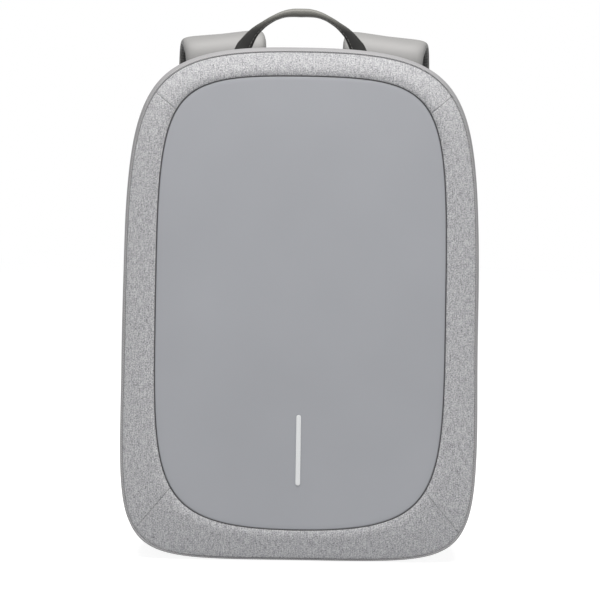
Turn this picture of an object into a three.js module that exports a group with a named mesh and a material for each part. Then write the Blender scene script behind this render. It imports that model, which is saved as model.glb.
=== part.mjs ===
// An anti theft backpack: a wedge shaped bag with a smooth padded front, a band of four mitred
// pieces round it, a hidden zip at the back, two padded shoulder straps and a carrying handle.
// Millimetres, +Z up, the front faces -Y and +X is on the right. The bag stands on z = 0. Depths
// are worked out from the outer face of the back panel, and the whole is centred at the end.

import * as THREE from "three";

// The gap left between pieces that touch.
const CLEARANCE = 0.3;

// The front face, measured to its edge seam.
const FACE_WIDTH = 286;
const FACE_TOP = 417;
const FACE_WIDEST_HEIGHT = 208;
const EDGE_DEPTH_TOP = 74;
const EDGE_DEPTH_BOTTOM = 104;
const FRONT_WALL = 3;

// The band between the edge seam and the panel seam, and how far each seam stands forward.
const BAND_SIDE = 24.3;
const BAND_TOP = 20;
const BAND_BOTTOM = 25;
const BAND_RISE = 10;
const PANEL_CROWN = 5;
const PANEL_WIDEST_HEIGHT = 199;

// How thick the band is where it turns into the edge seam, the thin round piping in that seam,
// and the flat one that lies low in the panel seam.
const EDGE_TURN = 1;
const EDGE_PIPING_RADIUS = 0.7;
const PANEL_PIPING_WIDTH = 1.4;
const PANEL_PIPING_DEPTH = 0.3;

// The wall round the bag.
const GUSSET_WALL = 2.5;
const GUSSET_BULGE = 4.7;
const GUSSET_BACK = 6;
const SOLE_GAP = 1.3;
const SOLE_DEPTH = 1.2;

// The back: the rolled lip of the wall, the zip inside it and the padded panel.
const LIP_INSET = 5;
const LIP_SET = 3;
const ZIP_WIDTH = 7;
const ZIP_THICKNESS = 2;
const BACK_PAD = 10;
const BACK_BEVEL = 2.5;

// How far the hinge at the bottom of the back reaches either way, in stations of the outline.
const HINGE_HALF_SPAN = 0.28;

// The slider of the zip, with its pull.
const SLIDER_WIDTH = 6;
const SLIDER_NOSE_WIDTH = 4;
const SLIDER_LENGTH = 11;
const SLIDER_THICKNESS = 3;
const PULL_WIDTH = 4;
const PULL_LENGTH = 16;
const SLIDER_STATION = 1.12;

// The short bar low on the front panel.
const STRIP_WIDTH = 3.8;
const STRIP_LENGTH = 57.5;
const STRIP_BOTTOM = 63.5;
const STRIP_THICKNESS = 0.5;

// The handle on top.
const HANDLE_SPAN = 99;
const HANDLE_RISE = 31.7;
const HANDLE_SHIFT = -3.2;
const HANDLE_FROM_BACK = 18;
const HANDLE_FOOT_WIDTH = 14;
const HANDLE_GRIP_WIDTH = 13;

// The shoulder straps. The route is the line between the padded outside and the mesh inside.
const STRAP_WIDTH = 70;
const STRAP_FACE = 7;
const STRAP_LINING = 4;
const STRAP_ROOT_HEIGHT = 368;
const STRAP_ROOT_OUT = 56;
const STRAP_BEND_OUT = 70;
const STRAP_BEND_SKEW = 3.5;
const STRAP_END_INSET = 50;
const STRAP_END_HEIGHT = 152;
const STRAP_END_FROM_BACK = 17;
const STRAP_TOP = 435.5;
const STRAP_BEND_RADIUS = 17;
const STRAP_RISE_TILT = 7;
const STRAP_FALL_TILT = -5;

// The flat part of a strap's outside and the reach of its lining, as shares of the half width, and
// the part of the route over which the strap tilts from one angle to the other.
const STRAP_FLAT = 0.86;
const LINING_REACH = 0.97;
const STRAP_TILT_FROM = 0.18;
const STRAP_TILT_TO = 0.4;

// The ladder lock at the end of each strap, its loop, the webbing and the tab that holds it.
const WEBBING_WIDTH = 24;
const WEBBING_THICKNESS = 1.4;
const WEBBING_TAIL = 52;
const WEBBING_LEAD = 6;
const TAIL_LEAD = 4;
const TAIL_LIFT = 4;
const LOCK_BAR = 4;
const LOCK_SLOT = 5;
const LOCK_THICKNESS = 4;
const LOCK_RAIL = 4;
const LOOP_LENGTH = 7;
const TAB_WIDTH = 30;
const TAB_FOOT_WIDTH = 24;
const TAB_LENGTH = 24;
const TAB_THICKNESS = 3;
const TAB_INSET = 39;
const TAB_BOTTOM = 36;
const TAB_RISE = 10;
const TAB_LEAN = 1;

// How finely things are drawn: the steps of each quarter of a ring and of a strap, the sides of
// the piping and of the handle, and how often a height on the wall's top is narrowed down.
const QUARTER_STEPS = 16;
const STRAP_STEPS = 30;
const PIPING_SIDES = 6;
const HANDLE_SIDES = 8;
const HALVINGS = 30;
const STATION_STEP = 0.01;

// Stations tell where a point lies on an outline: clockwise from the top middle, 0, through the
// right, the bottom and the left, and round to 4.
const QUARTERS = 4;
const BOTTOM_STATION = 2;

// The pieces of the band, from one mitred corner to the next.
const BAND_PIECES = [
  { name: "band_top", from: 3.5, to: 4.5 },
  { name: "band_right", from: 0.5, to: 1.5 },
  { name: "band_bottom", from: 1.5, to: 2.5 },
  { name: "band_left", from: 2.5, to: 3.5 },
];

// How far each quarter of an outline reaches towards its corner, as shares of its half width and
// of its height above and below the widest line.
const EDGE_CORNERS = { topReach: 0.938, topRise: 0.901, bottomDrop: 1.041, bottomReach: 1.131 };
const PANEL_CORNERS = { topReach: 1.007, topRise: 0.935, bottomDrop: 0.822, bottomReach: 0.997 };

// The wall's section from front to back: how far along its depth, and how much of the bulge.
const GUSSET_PROFILE = [
  { back: 0, out: 0 },
  { back: 0.14, out: 0.7 },
  { back: 0.4, out: 1 },
  { back: 0.76, out: 0.95 },
  { back: 1, out: 0.5 },
];

// The rings of the two padded panels, as shares of the way from the middle to the rim.
const PANEL_RINGS = [0.25, 0.5, 0.75, 1];
const BACK_RINGS = [0.35, 0.7, 0.92, 1];

// Half the handle, from a foot to the middle: shares of half the span and of the rise, then how
// tall it is, as a share of the foot's width, and how deep, as a share of the grip's width.
const HANDLE_ROUTE = [
  { side: 1, up: 0, tall: 1, deep: 0.3 },
  { side: 0.95, up: 0.12, tall: 0.9, deep: 0.32 },
  { side: 0.81, up: 0.44, tall: 0.6, deep: 0.5 },
  { side: 0.63, up: 0.685, tall: 0.4, deep: 0.8 },
  { side: 0.45, up: 0.86, tall: 0.36, deep: 1 },
  { side: 0.29, up: 0.96, tall: 0.42, deep: 1 },
  { side: 0.14, up: 0.998, tall: 0.5, deep: 1 },
  { side: 0, up: 1, tall: 0.52, deep: 1 },
];

// The falling part of a strap: shares of the drop, of the way in to the back and of the way out
// to the side.
const STRAP_FALL = [
  { drop: 0.16, near: 0.14, out: 0.02 },
  { drop: 0.4, near: 0.46, out: 0.18 },
  { drop: 0.7, near: 0.8, out: 0.56 },
  { drop: 1, near: 1, out: 1 },
];

// The width and thickness of a strap along its route, as shares of the whole.
const STRAP_SHAPE = [
  { along: 0, wide: 0.84, thick: 1 },
  { along: 0.16, wide: 1, thick: 1 },
  { along: 0.4, wide: 0.98, thick: 1 },
  { along: 0.75, wide: 0.84, thick: 1 },
  { along: 0.93, wide: 0.7, thick: 0.9 },
  { along: 1, wide: 0.5, thick: 0.7 },
];

// The reflective bar's half width along its length, so that its ends are round.
const STRIP_SHAPE = [
  { along: 0, wide: 0.4 },
  { along: 0.03, wide: 0.95 },
  { along: 0.25, wide: 1 },
  { along: 0.5, wide: 1 },
  { along: 0.75, wide: 1 },
  { along: 0.97, wide: 0.95 },
  { along: 1, wide: 0.4 },
];

const FACE_BOTTOM = EDGE_PIPING_RADIUS + SOLE_GAP;
const STRAP_END_OUT = FACE_WIDTH / 2 - STRAP_END_INSET;
const TAB_OUT = FACE_WIDTH / 2 - TAB_INSET;

const EDGE_LINE = {
  half: FACE_WIDTH / 2,
  top: FACE_TOP,
  bottom: FACE_BOTTOM,
  widest: FACE_WIDEST_HEIGHT,
  corners: EDGE_CORNERS,
};

const PANEL_LINE = {
  half: EDGE_LINE.half - BAND_SIDE,
  top: FACE_TOP - BAND_TOP,
  bottom: FACE_BOTTOM + BAND_BOTTOM,
  widest: PANEL_WIDEST_HEIGHT,
  corners: PANEL_CORNERS,
};

const LIGHT_CLOTH = { color: 0xa6a8ac, roughness: 0.85, metalness: 0 };
const MELANGE_CLOTH = { color: 0xa3a3a7, roughness: 0.95, metalness: 0 };
const DARK_CLOTH = { color: 0x4a4a48, roughness: 0.9, metalness: 0 };
const WALL_CLOTH = { color: 0x9a9a9c, roughness: 0.9, metalness: 0 };
const STRAP_CLOTH = { color: 0xb9b9b9, roughness: 0.7, metalness: 0 };
const HANDLE_CLOTH = { color: 0x3a3a3a, roughness: 0.55, metalness: 0 };
const BLACK_PLASTIC = { color: 0x1c1c1d, roughness: 0.4, metalness: 0 };
const BRIGHT_FILM = { color: 0xd6d8da, roughness: 0.3, metalness: 0.2 };
const ZIP_METAL = { color: 0x5a5a5c, roughness: 0.35, metalness: 0.9 };

function mix(from, to, share) {
  return from + (to - from) * share;
}

// Steps evenly from one number to another, both ends included.
function steps(from, to, count) {
  return [...Array(count + 1).keys()].map((index) => mix(from, to, index / count));
}

// Reads a column of a table that is sorted by its "along" column.
function readTable(table, along, column) {
  const after = Math.max(1, table.findIndex((row) => row.along >= along));
  const low = table[after - 1];
  const high = table[after];
  return mix(low[column], high[column], (along - low.along) / (high.along - low.along));
}

// A point of an outline, as seen from the front, at a station.
function outlinePoint(line, station) {
  const turn = ((station % QUARTERS) + QUARTERS) % QUARTERS;
  const side = turn <= BOTTOM_STATION ? 1 : -1;
  const folded = turn <= BOTTOM_STATION ? turn : QUARTERS - turn;
  const { half, top, bottom, widest, corners } = line;
  const upper = folded <= 1;
  const t = upper ? folded : folded - 1;
  const knots = upper
    ? [[0, top], [half * corners.topReach, top],
       [half, mix(widest, top, corners.topRise)], [half, widest]]
    : [[half, widest], [half, mix(widest, bottom, corners.bottomDrop)],
       [half * corners.bottomReach, bottom], [0, bottom]];
  const weights = [(1 - t) ** 3, 3 * (1 - t) ** 2 * t, 3 * (1 - t) * t ** 2, t ** 3];
  const x = weights.reduce((sum, weight, index) => sum + weight * knots[index][0], 0);
  const z = weights.reduce((sum, weight, index) => sum + weight * knots[index][1], 0);
  return { x: side * x, z };
}

// The outline drawn in by a distance, or out by a negative one.
function inset(line, distance) {
  const { half, top, bottom } = line;
  return { ...line, half: half - distance, top: top - distance, bottom: bottom + distance };
}

// The stations of a closed ring.
function ringStations() {
  return steps(0, QUARTERS, QUARTERS * QUARTER_STEPS).slice(0, -1);
}

// Half a clearance on an outline at a station, in stations.
function halfGap(line, station) {
  const before = outlinePoint(line, station - STATION_STEP);
  const after = outlinePoint(line, station + STATION_STEP);
  const run = Math.hypot(after.x - before.x, after.z - before.z);
  return (CLEARANCE / 2) * ((2 * STATION_STEP) / run);
}

// The depth of the edge seam, and of the panel seam, at a height.
function edgeDepth(z) {
  return -mix(EDGE_DEPTH_BOTTOM, EDGE_DEPTH_TOP, z / FACE_TOP);
}

// A point of the band's outside: across is 0 on the edge seam and 1 on the panel seam.
function bandPoint(outer, inner, station, across, behind) {
  const from = outlinePoint(outer, station);
  const to = outlinePoint(inner, station);
  const x = mix(from.x, to.x, across);
  const z = mix(from.z, to.z, across);
  return new THREE.Vector3(x, edgeDepth(z) - BAND_RISE * Math.sin((across * Math.PI) / 2) + behind, z);
}

// The depth of the front panel's outside: share is 0 in its middle and 1 on its seam.
function panelDepth(z, share) {
  return edgeDepth(z) - BAND_RISE - PANEL_CROWN * (1 - share ** 2);
}

// Turns a closed mesh the right way out and wraps it as a geometry.
function solidFrom(points, triangles) {
  const volume = triangles.reduce((sum, [a, b, c]) => {
    return sum + points[a].dot(new THREE.Vector3().crossVectors(points[b], points[c]));
  }, 0);
  const faces = volume < 0 ? triangles.map(([a, b, c]) => [a, c, b]) : triangles;
  const geometry = new THREE.BufferGeometry();
  const numbers = points.flatMap((point) => point.toArray());
  geometry.setAttribute("position", new THREE.Float32BufferAttribute(numbers, 3));
  geometry.setIndex(faces.flat());
  geometry.computeVertexNormals();
  return geometry;
}

// Joins sections with as many points each. An open run gets an end wall at both ends, made as a
// ladder between the section's two sides.
function loft(rows, closed) {
  const size = rows[0].length;
  const triangles = [];
  const last = closed ? rows.length : rows.length - 1;
  for (let row = 0; row < last; row += 1) {
    for (let step = 0; step < size; step += 1) {
      const a = row * size + step;
      const b = row * size + ((step + 1) % size);
      const c = ((row + 1) % rows.length) * size + ((step + 1) % size);
      const d = ((row + 1) % rows.length) * size + step;
      triangles.push([a, b, c], [a, c, d]);
    }
  }
  if (!closed) {
    const end = (rows.length - 1) * size;
    for (let step = 0; step < size / 2 - 1; step += 1) {
      const a = step;
      const b = step + 1;
      const c = size - 2 - step;
      const d = size - 1 - step;
      triangles.push([a, c, b], [a, d, c], [end + a, end + b, end + c], [end + a, end + c, end + d]);
    }
  }
  return solidFrom(rows.flat(), triangles);
}

// A padded plate: place(share, station, side) gives its outside (side 0) and its inside (side 1).
function plate(rings, place) {
  const count = QUARTERS * QUARTER_STEPS;
  const points = [place(0, 0, 0), place(0, 0, 1)];
  for (const side of [0, 1]) {
    for (const share of rings) {
      for (let index = 0; index < count; index += 1) {
        points.push(place(share, index / QUARTER_STEPS, side));
      }
    }
  }
  const at = (side, ring, index) => 2 + (side * rings.length + ring) * count + (index % count);
  const triangles = [];
  for (let index = 0; index < count; index += 1) {
    triangles.push([0, at(0, 0, index + 1), at(0, 0, index)], [1, at(1, 0, index), at(1, 0, index + 1)]);
    for (let ring = 0; ring < rings.length - 1; ring += 1) {
      for (const side of [0, 1]) {
        const a = at(side, ring, index);
        const b = at(side, ring, index + 1);
        const c = at(side, ring + 1, index + 1);
        const d = at(side, ring + 1, index);
        triangles.push(...(side === 0 ? [[a, b, c], [a, c, d]] : [[a, c, b], [a, d, c]]));
      }
    }
    const rim = rings.length - 1;
    const a = at(0, rim, index);
    const b = at(0, rim, index + 1);
    const c = at(1, rim, index + 1);
    const d = at(1, rim, index);
    triangles.push([a, b, c], [a, c, d]);
  }
  return solidFrom(points, triangles);
}

// A flat ribbon along points, square in section, with its width along one direction.
function ribbon(points, across, width, thickness) {
  const rows = points.map((point, index) => {
    const before = points[Math.max(0, index - 1)];
    const after = points[Math.min(points.length - 1, index + 1)];
    const along = new THREE.Vector3().subVectors(after, before).normalize();
    const half = across.clone().multiplyScalar(width / 2);
    const up = new THREE.Vector3().crossVectors(along, across).normalize().multiplyScalar(thickness / 2);
    return [[-1, -1], [1, -1], [1, 1], [-1, 1]].map(([a, b]) => {
      return point.clone().addScaledVector(half, a).addScaledVector(up, b);
    });
  });
  return loft(rows, false);
}

// The same solid on the other side of the bag.
function mirrored(geometry) {
  const copy = geometry.clone();
  copy.scale(-1, 1, 1);
  const index = copy.getIndex().array;
  for (let face = 0; face < index.length; face += 3) {
    [index[face + 1], index[face + 2]] = [index[face + 2], index[face + 1]];
  }
  return copy;
}

const bag = new THREE.Group();

function add(name, geometry, finish) {
  const mesh = new THREE.Mesh(geometry, new THREE.MeshStandardMaterial(finish));
  mesh.name = name;
  bag.add(mesh);
  return mesh;
}

function centrePanel() {
  const rim = inset(PANEL_LINE, PANEL_PIPING_WIDTH / 2 + CLEARANCE);
  const middle = { x: 0, z: PANEL_LINE.widest };
  return plate(PANEL_RINGS, (share, station, side) => {
    const edge = outlinePoint(rim, station);
    const x = mix(middle.x, edge.x, share);
    const z = mix(middle.z, edge.z, share);
    return new THREE.Vector3(x, panelDepth(z, share) + side * FRONT_WALL, z);
  });
}

function panelPiping() {
  const outer = inset(PANEL_LINE, -PANEL_PIPING_WIDTH / 2);
  const inner = inset(PANEL_LINE, PANEL_PIPING_WIDTH / 2);
  const rows = ringStations().map((station) => {
    const ends = [outlinePoint(outer, station), outlinePoint(inner, station)];
    const front = ends.map(({ x, z }) => new THREE.Vector3(x, panelDepth(z, 1) + PANEL_PIPING_DEPTH, z));
    const back = ends.map(({ x, z }) => new THREE.Vector3(x, panelDepth(z, 1) + FRONT_WALL, z));
    return [front[0], front[1], back[1], back[0]];
  });
  return loft(rows, true);
}

// One piece of the band, from one mitred seam to the next.
function bandPiece(from, to) {
  const outer = inset(EDGE_LINE, EDGE_PIPING_RADIUS + CLEARANCE);
  const inner = inset(PANEL_LINE, -PANEL_PIPING_WIDTH / 2 - CLEARANCE);
  const seam = halfGap(inner, from);
  const count = Math.round((to - from) * QUARTER_STEPS);
  const rows = steps(from + seam, to - seam, count).map((station) => [
    bandPoint(outer, inner, station, 0, 0),
    bandPoint(outer, inner, station, 0.5, 0),
    bandPoint(outer, inner, station, 1, 0),
    bandPoint(outer, inner, station, 1, FRONT_WALL),
    bandPoint(outer, inner, station, 0.5, FRONT_WALL),
    bandPoint(outer, inner, station, 0, EDGE_TURN),
  ]);
  return loft(rows, false);
}

function edgePiping() {
  const rows = ringStations().map((station) => {
    return steps(0, 2 * Math.PI, PIPING_SIDES).slice(0, -1).map((angle) => {
      const { x, z } = outlinePoint(inset(EDGE_LINE, EDGE_PIPING_RADIUS * Math.cos(angle)), station);
      return new THREE.Vector3(x, edgeDepth(z) + EDGE_PIPING_RADIUS * Math.sin(angle), z);
    });
  });
  return loft(rows, true);
}

// The wall's outline where a share of its bulge is reached. Its underside is drawn down to the
// floor and flattened there.
function gussetPoint(station, out, wall) {
  const bulge = GUSSET_BULGE * out;
  const line = {
    ...EDGE_LINE,
    half: EDGE_LINE.half + bulge,
    top: EDGE_LINE.top + bulge,
    bottom: EDGE_LINE.bottom * (1 - out),
  };
  const outside = outlinePoint(line, station);
  const flat = outside.z < SOLE_DEPTH ? 0 : outside.z;
  if (wall === 0) {
    return { x: outside.x, z: flat };
  }
  const { x, z } = outlinePoint(inset(line, wall), station);
  return { x, z: z + flat - outside.z };
}

function gusset() {
  const rows = ringStations().map((station) => {
    const edge = edgeDepth(outlinePoint(EDGE_LINE, station).z);
    const outside = edge + EDGE_PIPING_RADIUS + CLEARANCE;
    const inside = edge + EDGE_TURN + CLEARANCE + GUSSET_WALL / 2;
    const skin = (wall) => GUSSET_PROFILE.map(({ back, out }) => {
      const { x, z } = gussetPoint(station, out, wall);
      return new THREE.Vector3(x, mix(wall === 0 ? outside : inside, -GUSSET_BACK - wall, back), z);
    });
    const lip = outlinePoint(inset(EDGE_LINE, LIP_INSET), station);
    const rolled = [0, GUSSET_WALL].map((wall) => new THREE.Vector3(lip.x, -LIP_SET - wall, lip.z));
    return [...skin(0), ...rolled, ...skin(GUSSET_WALL).reverse()];
  });
  return loft(rows, true);
}

// A band in the plane of the back, between the lip of the wall and the back panel.
function backBand(from, to) {
  const outer = inset(EDGE_LINE, LIP_INSET + CLEARANCE);
  const inner = inset(EDGE_LINE, LIP_INSET + CLEARANCE + ZIP_WIDTH);
  const seam = halfGap(inner, from);
  const count = Math.round((to - from) * QUARTER_STEPS);
  const rows = steps(from + seam, to - seam, count).map((station) => {
    const ends = [outlinePoint(outer, station), outlinePoint(inner, station)];
    const face = (depth) => ends.map(({ x, z }) => new THREE.Vector3(x, -depth, z));
    const near = face(LIP_SET);
    const far = face(LIP_SET + ZIP_THICKNESS);
    return [near[0], near[1], far[1], far[0]];
  });
  return loft(rows, false);
}

const BACK_LINE = inset(EDGE_LINE, LIP_INSET + ZIP_WIDTH + 2 * CLEARANCE);

function backPanel() {
  return plate(BACK_RINGS, (share, station, side) => {
    const edge = outlinePoint(BACK_LINE, station);
    const bevel = share === 1 ? BACK_BEVEL : 0;
    const depth = side === 0 ? bevel : BACK_PAD - bevel;
    return new THREE.Vector3(edge.x * share, -depth, mix(BACK_LINE.widest, edge.z, share));
  });
}

// The slider and its pull in one piece, on the right hand run of the zip.
function zipSlider() {
  const chain = inset(EDGE_LINE, LIP_INSET + CLEARANCE + ZIP_WIDTH / 2);
  const { x, z } = outlinePoint(chain, SLIDER_STATION);
  const shape = new THREE.Shape([
    new THREE.Vector2(-SLIDER_WIDTH / 2, 0),
    new THREE.Vector2(-PULL_WIDTH / 2, 0),
    new THREE.Vector2(-PULL_WIDTH / 2, -PULL_LENGTH),
    new THREE.Vector2(PULL_WIDTH / 2, -PULL_LENGTH),
    new THREE.Vector2(PULL_WIDTH / 2, 0),
    new THREE.Vector2(SLIDER_WIDTH / 2, 0),
    new THREE.Vector2(SLIDER_NOSE_WIDTH / 2, SLIDER_LENGTH),
    new THREE.Vector2(-SLIDER_NOSE_WIDTH / 2, SLIDER_LENGTH),
  ]);
  const flat = { depth: SLIDER_THICKNESS, bevelEnabled: false };
  const geometry = new THREE.ExtrudeGeometry(shape, flat);
  geometry.rotateX(Math.PI / 2);
  geometry.translate(x, -LIP_SET + CLEARANCE + SLIDER_THICKNESS, z);
  return geometry;
}

function reflectiveStrip() {
  const rows = STRIP_SHAPE.map(({ along, wide }) => {
    const z = STRIP_BOTTOM + STRIP_LENGTH * along;
    const share = (PANEL_LINE.widest - z) / (PANEL_LINE.widest - PANEL_LINE.bottom);
    const back = panelDepth(z, share) - CLEARANCE;
    const half = (STRIP_WIDTH / 2) * wide;
    return [
      new THREE.Vector3(-half, back - STRIP_THICKNESS, z),
      new THREE.Vector3(half, back - STRIP_THICKNESS, z),
      new THREE.Vector3(half, back, z),
      new THREE.Vector3(-half, back, z),
    ];
  });
  return loft(rows, false);
}

// The height of the wall's top at a distance from the middle.
function gussetTop(x) {
  let near = 0;
  let far = 0.5;
  for (let pass = 0; pass < HALVINGS; pass += 1) {
    const middle = (near + far) / 2;
    if (gussetPoint(middle, 1, 0).x < Math.abs(x)) {
      near = middle;
    } else {
      far = middle;
    }
  }
  return gussetPoint(near, 1, 0).z;
}

// The handle. Its sections lie level at the feet, where it is sewn on to the wall's top.
function handle() {
  const foot = gussetTop(HANDLE_SPAN / 2) + CLEARANCE;
  const other = HANDLE_ROUTE.slice(0, -1).reverse().map((row) => ({ ...row, side: -row.side }));
  const table = [...HANDLE_ROUTE, ...other];
  const route = new THREE.CatmullRomCurve3(table.map(({ side, up }) => {
    const x = HANDLE_SHIFT - (side * HANDLE_SPAN) / 2;
    return new THREE.Vector3(x, -HANDLE_FROM_BACK, foot + up * HANDLE_RISE);
  }));
  const last = table.length - 1;
  const rows = steps(0, last, 2 * last).map((knot) => {
    const centre = route.getPoint(knot / last);
    const ahead = route.getTangent(knot / last);
    const upright = Math.min(knot, last - knot) < 1;
    const out = upright
      ? new THREE.Vector3(-Math.sign(ahead.z), 0, 0)
      : new THREE.Vector3(-ahead.z, 0, ahead.x);
    const low = table[Math.floor(knot)];
    const high = table[Math.ceil(knot)];
    const tall = mix(low.tall, high.tall, knot % 1) * HANDLE_FOOT_WIDTH;
    const deep = mix(low.deep, high.deep, knot % 1) * HANDLE_GRIP_WIDTH;
    return steps(0, 2 * Math.PI, HANDLE_SIDES).slice(0, -1).map((angle) => {
      const point = centre.clone().addScaledVector(out, (tall / 2) * Math.cos(angle));
      point.y += (deep / 2) * Math.sin(angle);
      if (knot === 0 || knot === last) {
        point.z = gussetTop(point.x) + CLEARANCE;
      }
      return point;
    });
  });
  return loft(rows, false);
}

// The line between the outside and the inside of the right hand strap.
function strapRoute() {
  const start = CLEARANCE + STRAP_FACE + CLEARANCE / 2;
  const bendHeight = STRAP_TOP - STRAP_FACE - STRAP_BEND_RADIUS;
  const knots = [new THREE.Vector3(STRAP_ROOT_OUT, start, STRAP_ROOT_HEIGHT)];
  const halfOut = mix(STRAP_ROOT_OUT, STRAP_BEND_OUT - STRAP_BEND_SKEW, 0.5);
  knots.push(new THREE.Vector3(halfOut, start, mix(STRAP_ROOT_HEIGHT, bendHeight, 0.5)));
  for (const angle of steps(0, Math.PI, 4)) {
    knots.push(new THREE.Vector3(
      STRAP_BEND_OUT - STRAP_BEND_SKEW * Math.cos(angle),
      start + STRAP_BEND_RADIUS * (1 - Math.cos(angle)),
      bendHeight + STRAP_BEND_RADIUS * Math.sin(angle),
    ));
  }
  for (const { drop, near, out } of STRAP_FALL) {
    knots.push(new THREE.Vector3(
      mix(STRAP_BEND_OUT + STRAP_BEND_SKEW, STRAP_END_OUT, out),
      mix(start + 2 * STRAP_BEND_RADIUS, STRAP_END_FROM_BACK, near),
      mix(bendHeight, STRAP_END_HEIGHT, drop),
    ));
  }
  return new THREE.CatmullRomCurve3(knots);
}

// The directions of the right hand strap at a share of its route: ahead, across and outwards.
function strapFrame(route, along) {
  const ahead = route.getTangentAt(along);
  const turned = THREE.MathUtils.smoothstep(along, STRAP_TILT_FROM, STRAP_TILT_TO);
  const tilt = THREE.MathUtils.degToRad(mix(STRAP_RISE_TILT, STRAP_FALL_TILT, turned));
  const across = new THREE.Vector3(Math.cos(tilt), 0, -Math.sin(tilt));
  across.addScaledVector(ahead, -across.dot(ahead)).normalize();
  const outward = new THREE.Vector3().crossVectors(across, ahead);
  return { ahead, across, outward };
}

// The padded outside of the strap, or its mesh inside, by the section that is asked for. The
// section's columns are shares of the half width and lengths outwards from the route.
function strapSolid(route, section) {
  const rows = steps(0, 1, STRAP_STEPS).map((along) => {
    const centre = route.getPointAt(along);
    const { across, outward } = strapFrame(route, along);
    const half = (STRAP_WIDTH / 2) * readTable(STRAP_SHAPE, along, "wide");
    const thick = readTable(STRAP_SHAPE, along, "thick");
    return section(thick).map(([wide, out]) => {
      return centre.clone().addScaledVector(across, half * wide).addScaledVector(outward, out);
    });
  });
  return loft(rows, false);
}

function faceSection(thick) {
  const near = CLEARANCE / 2;
  const far = near + STRAP_FACE * thick;
  const half = mix(near, far, 0.5);
  return [[-1, near], [-1, half], [-STRAP_FLAT, far], [STRAP_FLAT, far], [1, half], [1, near]];
}

function liningSection(thick) {
  const near = -CLEARANCE / 2;
  const far = near - STRAP_LINING * thick;
  return [[-LINING_REACH, near], [-STRAP_FLAT, far], [STRAP_FLAT, far], [LINING_REACH, near]];
}

// Where the strap ends, with the directions there, for what hangs on it.
function strapEnd(route) {
  return { point: route.getPointAt(1), ...strapFrame(route, 1) };
}

// Sets a mesh by three directions at a point.
function place(mesh, x, y, z, point) {
  mesh.quaternion.setFromRotationMatrix(new THREE.Matrix4().makeBasis(x, y, z));
  mesh.position.copy(point);
}

// The ladder lock: a frame with two slots, its top bar in the loop and its bottom bar in the
// webbing. It is drawn with its length running down the strap.
const LOCK_WIDTH = WEBBING_WIDTH + 2 * (LOCK_RAIL + CLEARANCE);
const LOCK_LENGTH = 3 * LOCK_BAR + 2 * LOCK_SLOT;

function lockFrame() {
  const shape = new THREE.Shape();
  const half = LOCK_WIDTH / 2;
  shape.moveTo(-half, 0).lineTo(half, 0).lineTo(half, LOCK_LENGTH).lineTo(-half, LOCK_LENGTH);
  shape.closePath();
  for (const from of [LOCK_BAR, 2 * LOCK_BAR + LOCK_SLOT]) {
    const slot = new THREE.Path();
    const reach = half - LOCK_RAIL;
    slot.moveTo(-reach, from).lineTo(-reach, from + LOCK_SLOT).lineTo(reach, from + LOCK_SLOT);
    slot.lineTo(reach, from).closePath();
    shape.holes.push(slot);
  }
  const flat = { depth: LOCK_THICKNESS, bevelEnabled: false };
  const geometry = new THREE.ExtrudeGeometry(shape, flat);
  geometry.translate(0, LOOP_LENGTH, -LOCK_THICKNESS / 2);
  return geometry;
}

// The loop that carries the lock: a fold of webbing from the strap's end round the top bar.
function lockLoop() {
  const near = LOCK_THICKNESS / 2 + CLEARANCE;
  const far = near + WEBBING_THICKNESS;
  const fold = LOOP_LENGTH + LOCK_BAR + CLEARANCE;
  const shape = new THREE.Shape([
    new THREE.Vector2(CLEARANCE, near),
    new THREE.Vector2(fold, near),
    new THREE.Vector2(fold, -near),
    new THREE.Vector2(CLEARANCE, -near),
    new THREE.Vector2(CLEARANCE, -far),
    new THREE.Vector2(fold + WEBBING_THICKNESS, -far),
    new THREE.Vector2(fold + WEBBING_THICKNESS, far),
    new THREE.Vector2(CLEARANCE, far),
  ]);
  const flat = { depth: WEBBING_WIDTH, bevelEnabled: false };
  const geometry = new THREE.ExtrudeGeometry(shape, flat);
  geometry.translate(0, 0, -WEBBING_WIDTH / 2);
  return geometry;
}

// The webbing: up from the tab behind the lock, through the lower slot and down again as a tail.
function webbing(end) {
  const bar = LOOP_LENGTH + 2 * (LOCK_BAR + LOCK_SLOT);
  const clear = LOCK_THICKNESS / 2 + CLEARANCE + WEBBING_THICKNESS / 2;
  const turn = bar - CLEARANCE - WEBBING_THICKNESS / 2;
  const at = (down, out) => {
    const point = end.point.clone().addScaledVector(end.ahead, down);
    return point.addScaledVector(end.outward, out);
  };
  const slant = (WEBBING_WIDTH / 2) * Math.abs(end.across.z);
  const tabTop = new THREE.Vector3(
    TAB_OUT,
    CLEARANCE + TAB_THICKNESS / 2,
    TAB_BOTTOM + TAB_LENGTH + CLEARANCE + slant,
  );
  const lift = new THREE.Vector3(tabTop.x, tabTop.y + TAB_LEAN, tabTop.z + TAB_RISE);
  const points = [
    tabTop,
    lift,
    at(bar + LOCK_BAR + WEBBING_LEAD, -clear),
    at(bar + WEBBING_THICKNESS, -clear),
    at(turn, -clear + WEBBING_THICKNESS / 2),
    at(turn, clear - WEBBING_THICKNESS / 2),
    at(bar + WEBBING_THICKNESS, clear),
    at(bar + LOCK_BAR + TAIL_LEAD, clear),
    at(bar + WEBBING_TAIL, clear + TAIL_LIFT),
  ];
  return ribbon(points, end.across, WEBBING_WIDTH, WEBBING_THICKNESS);
}

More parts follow.
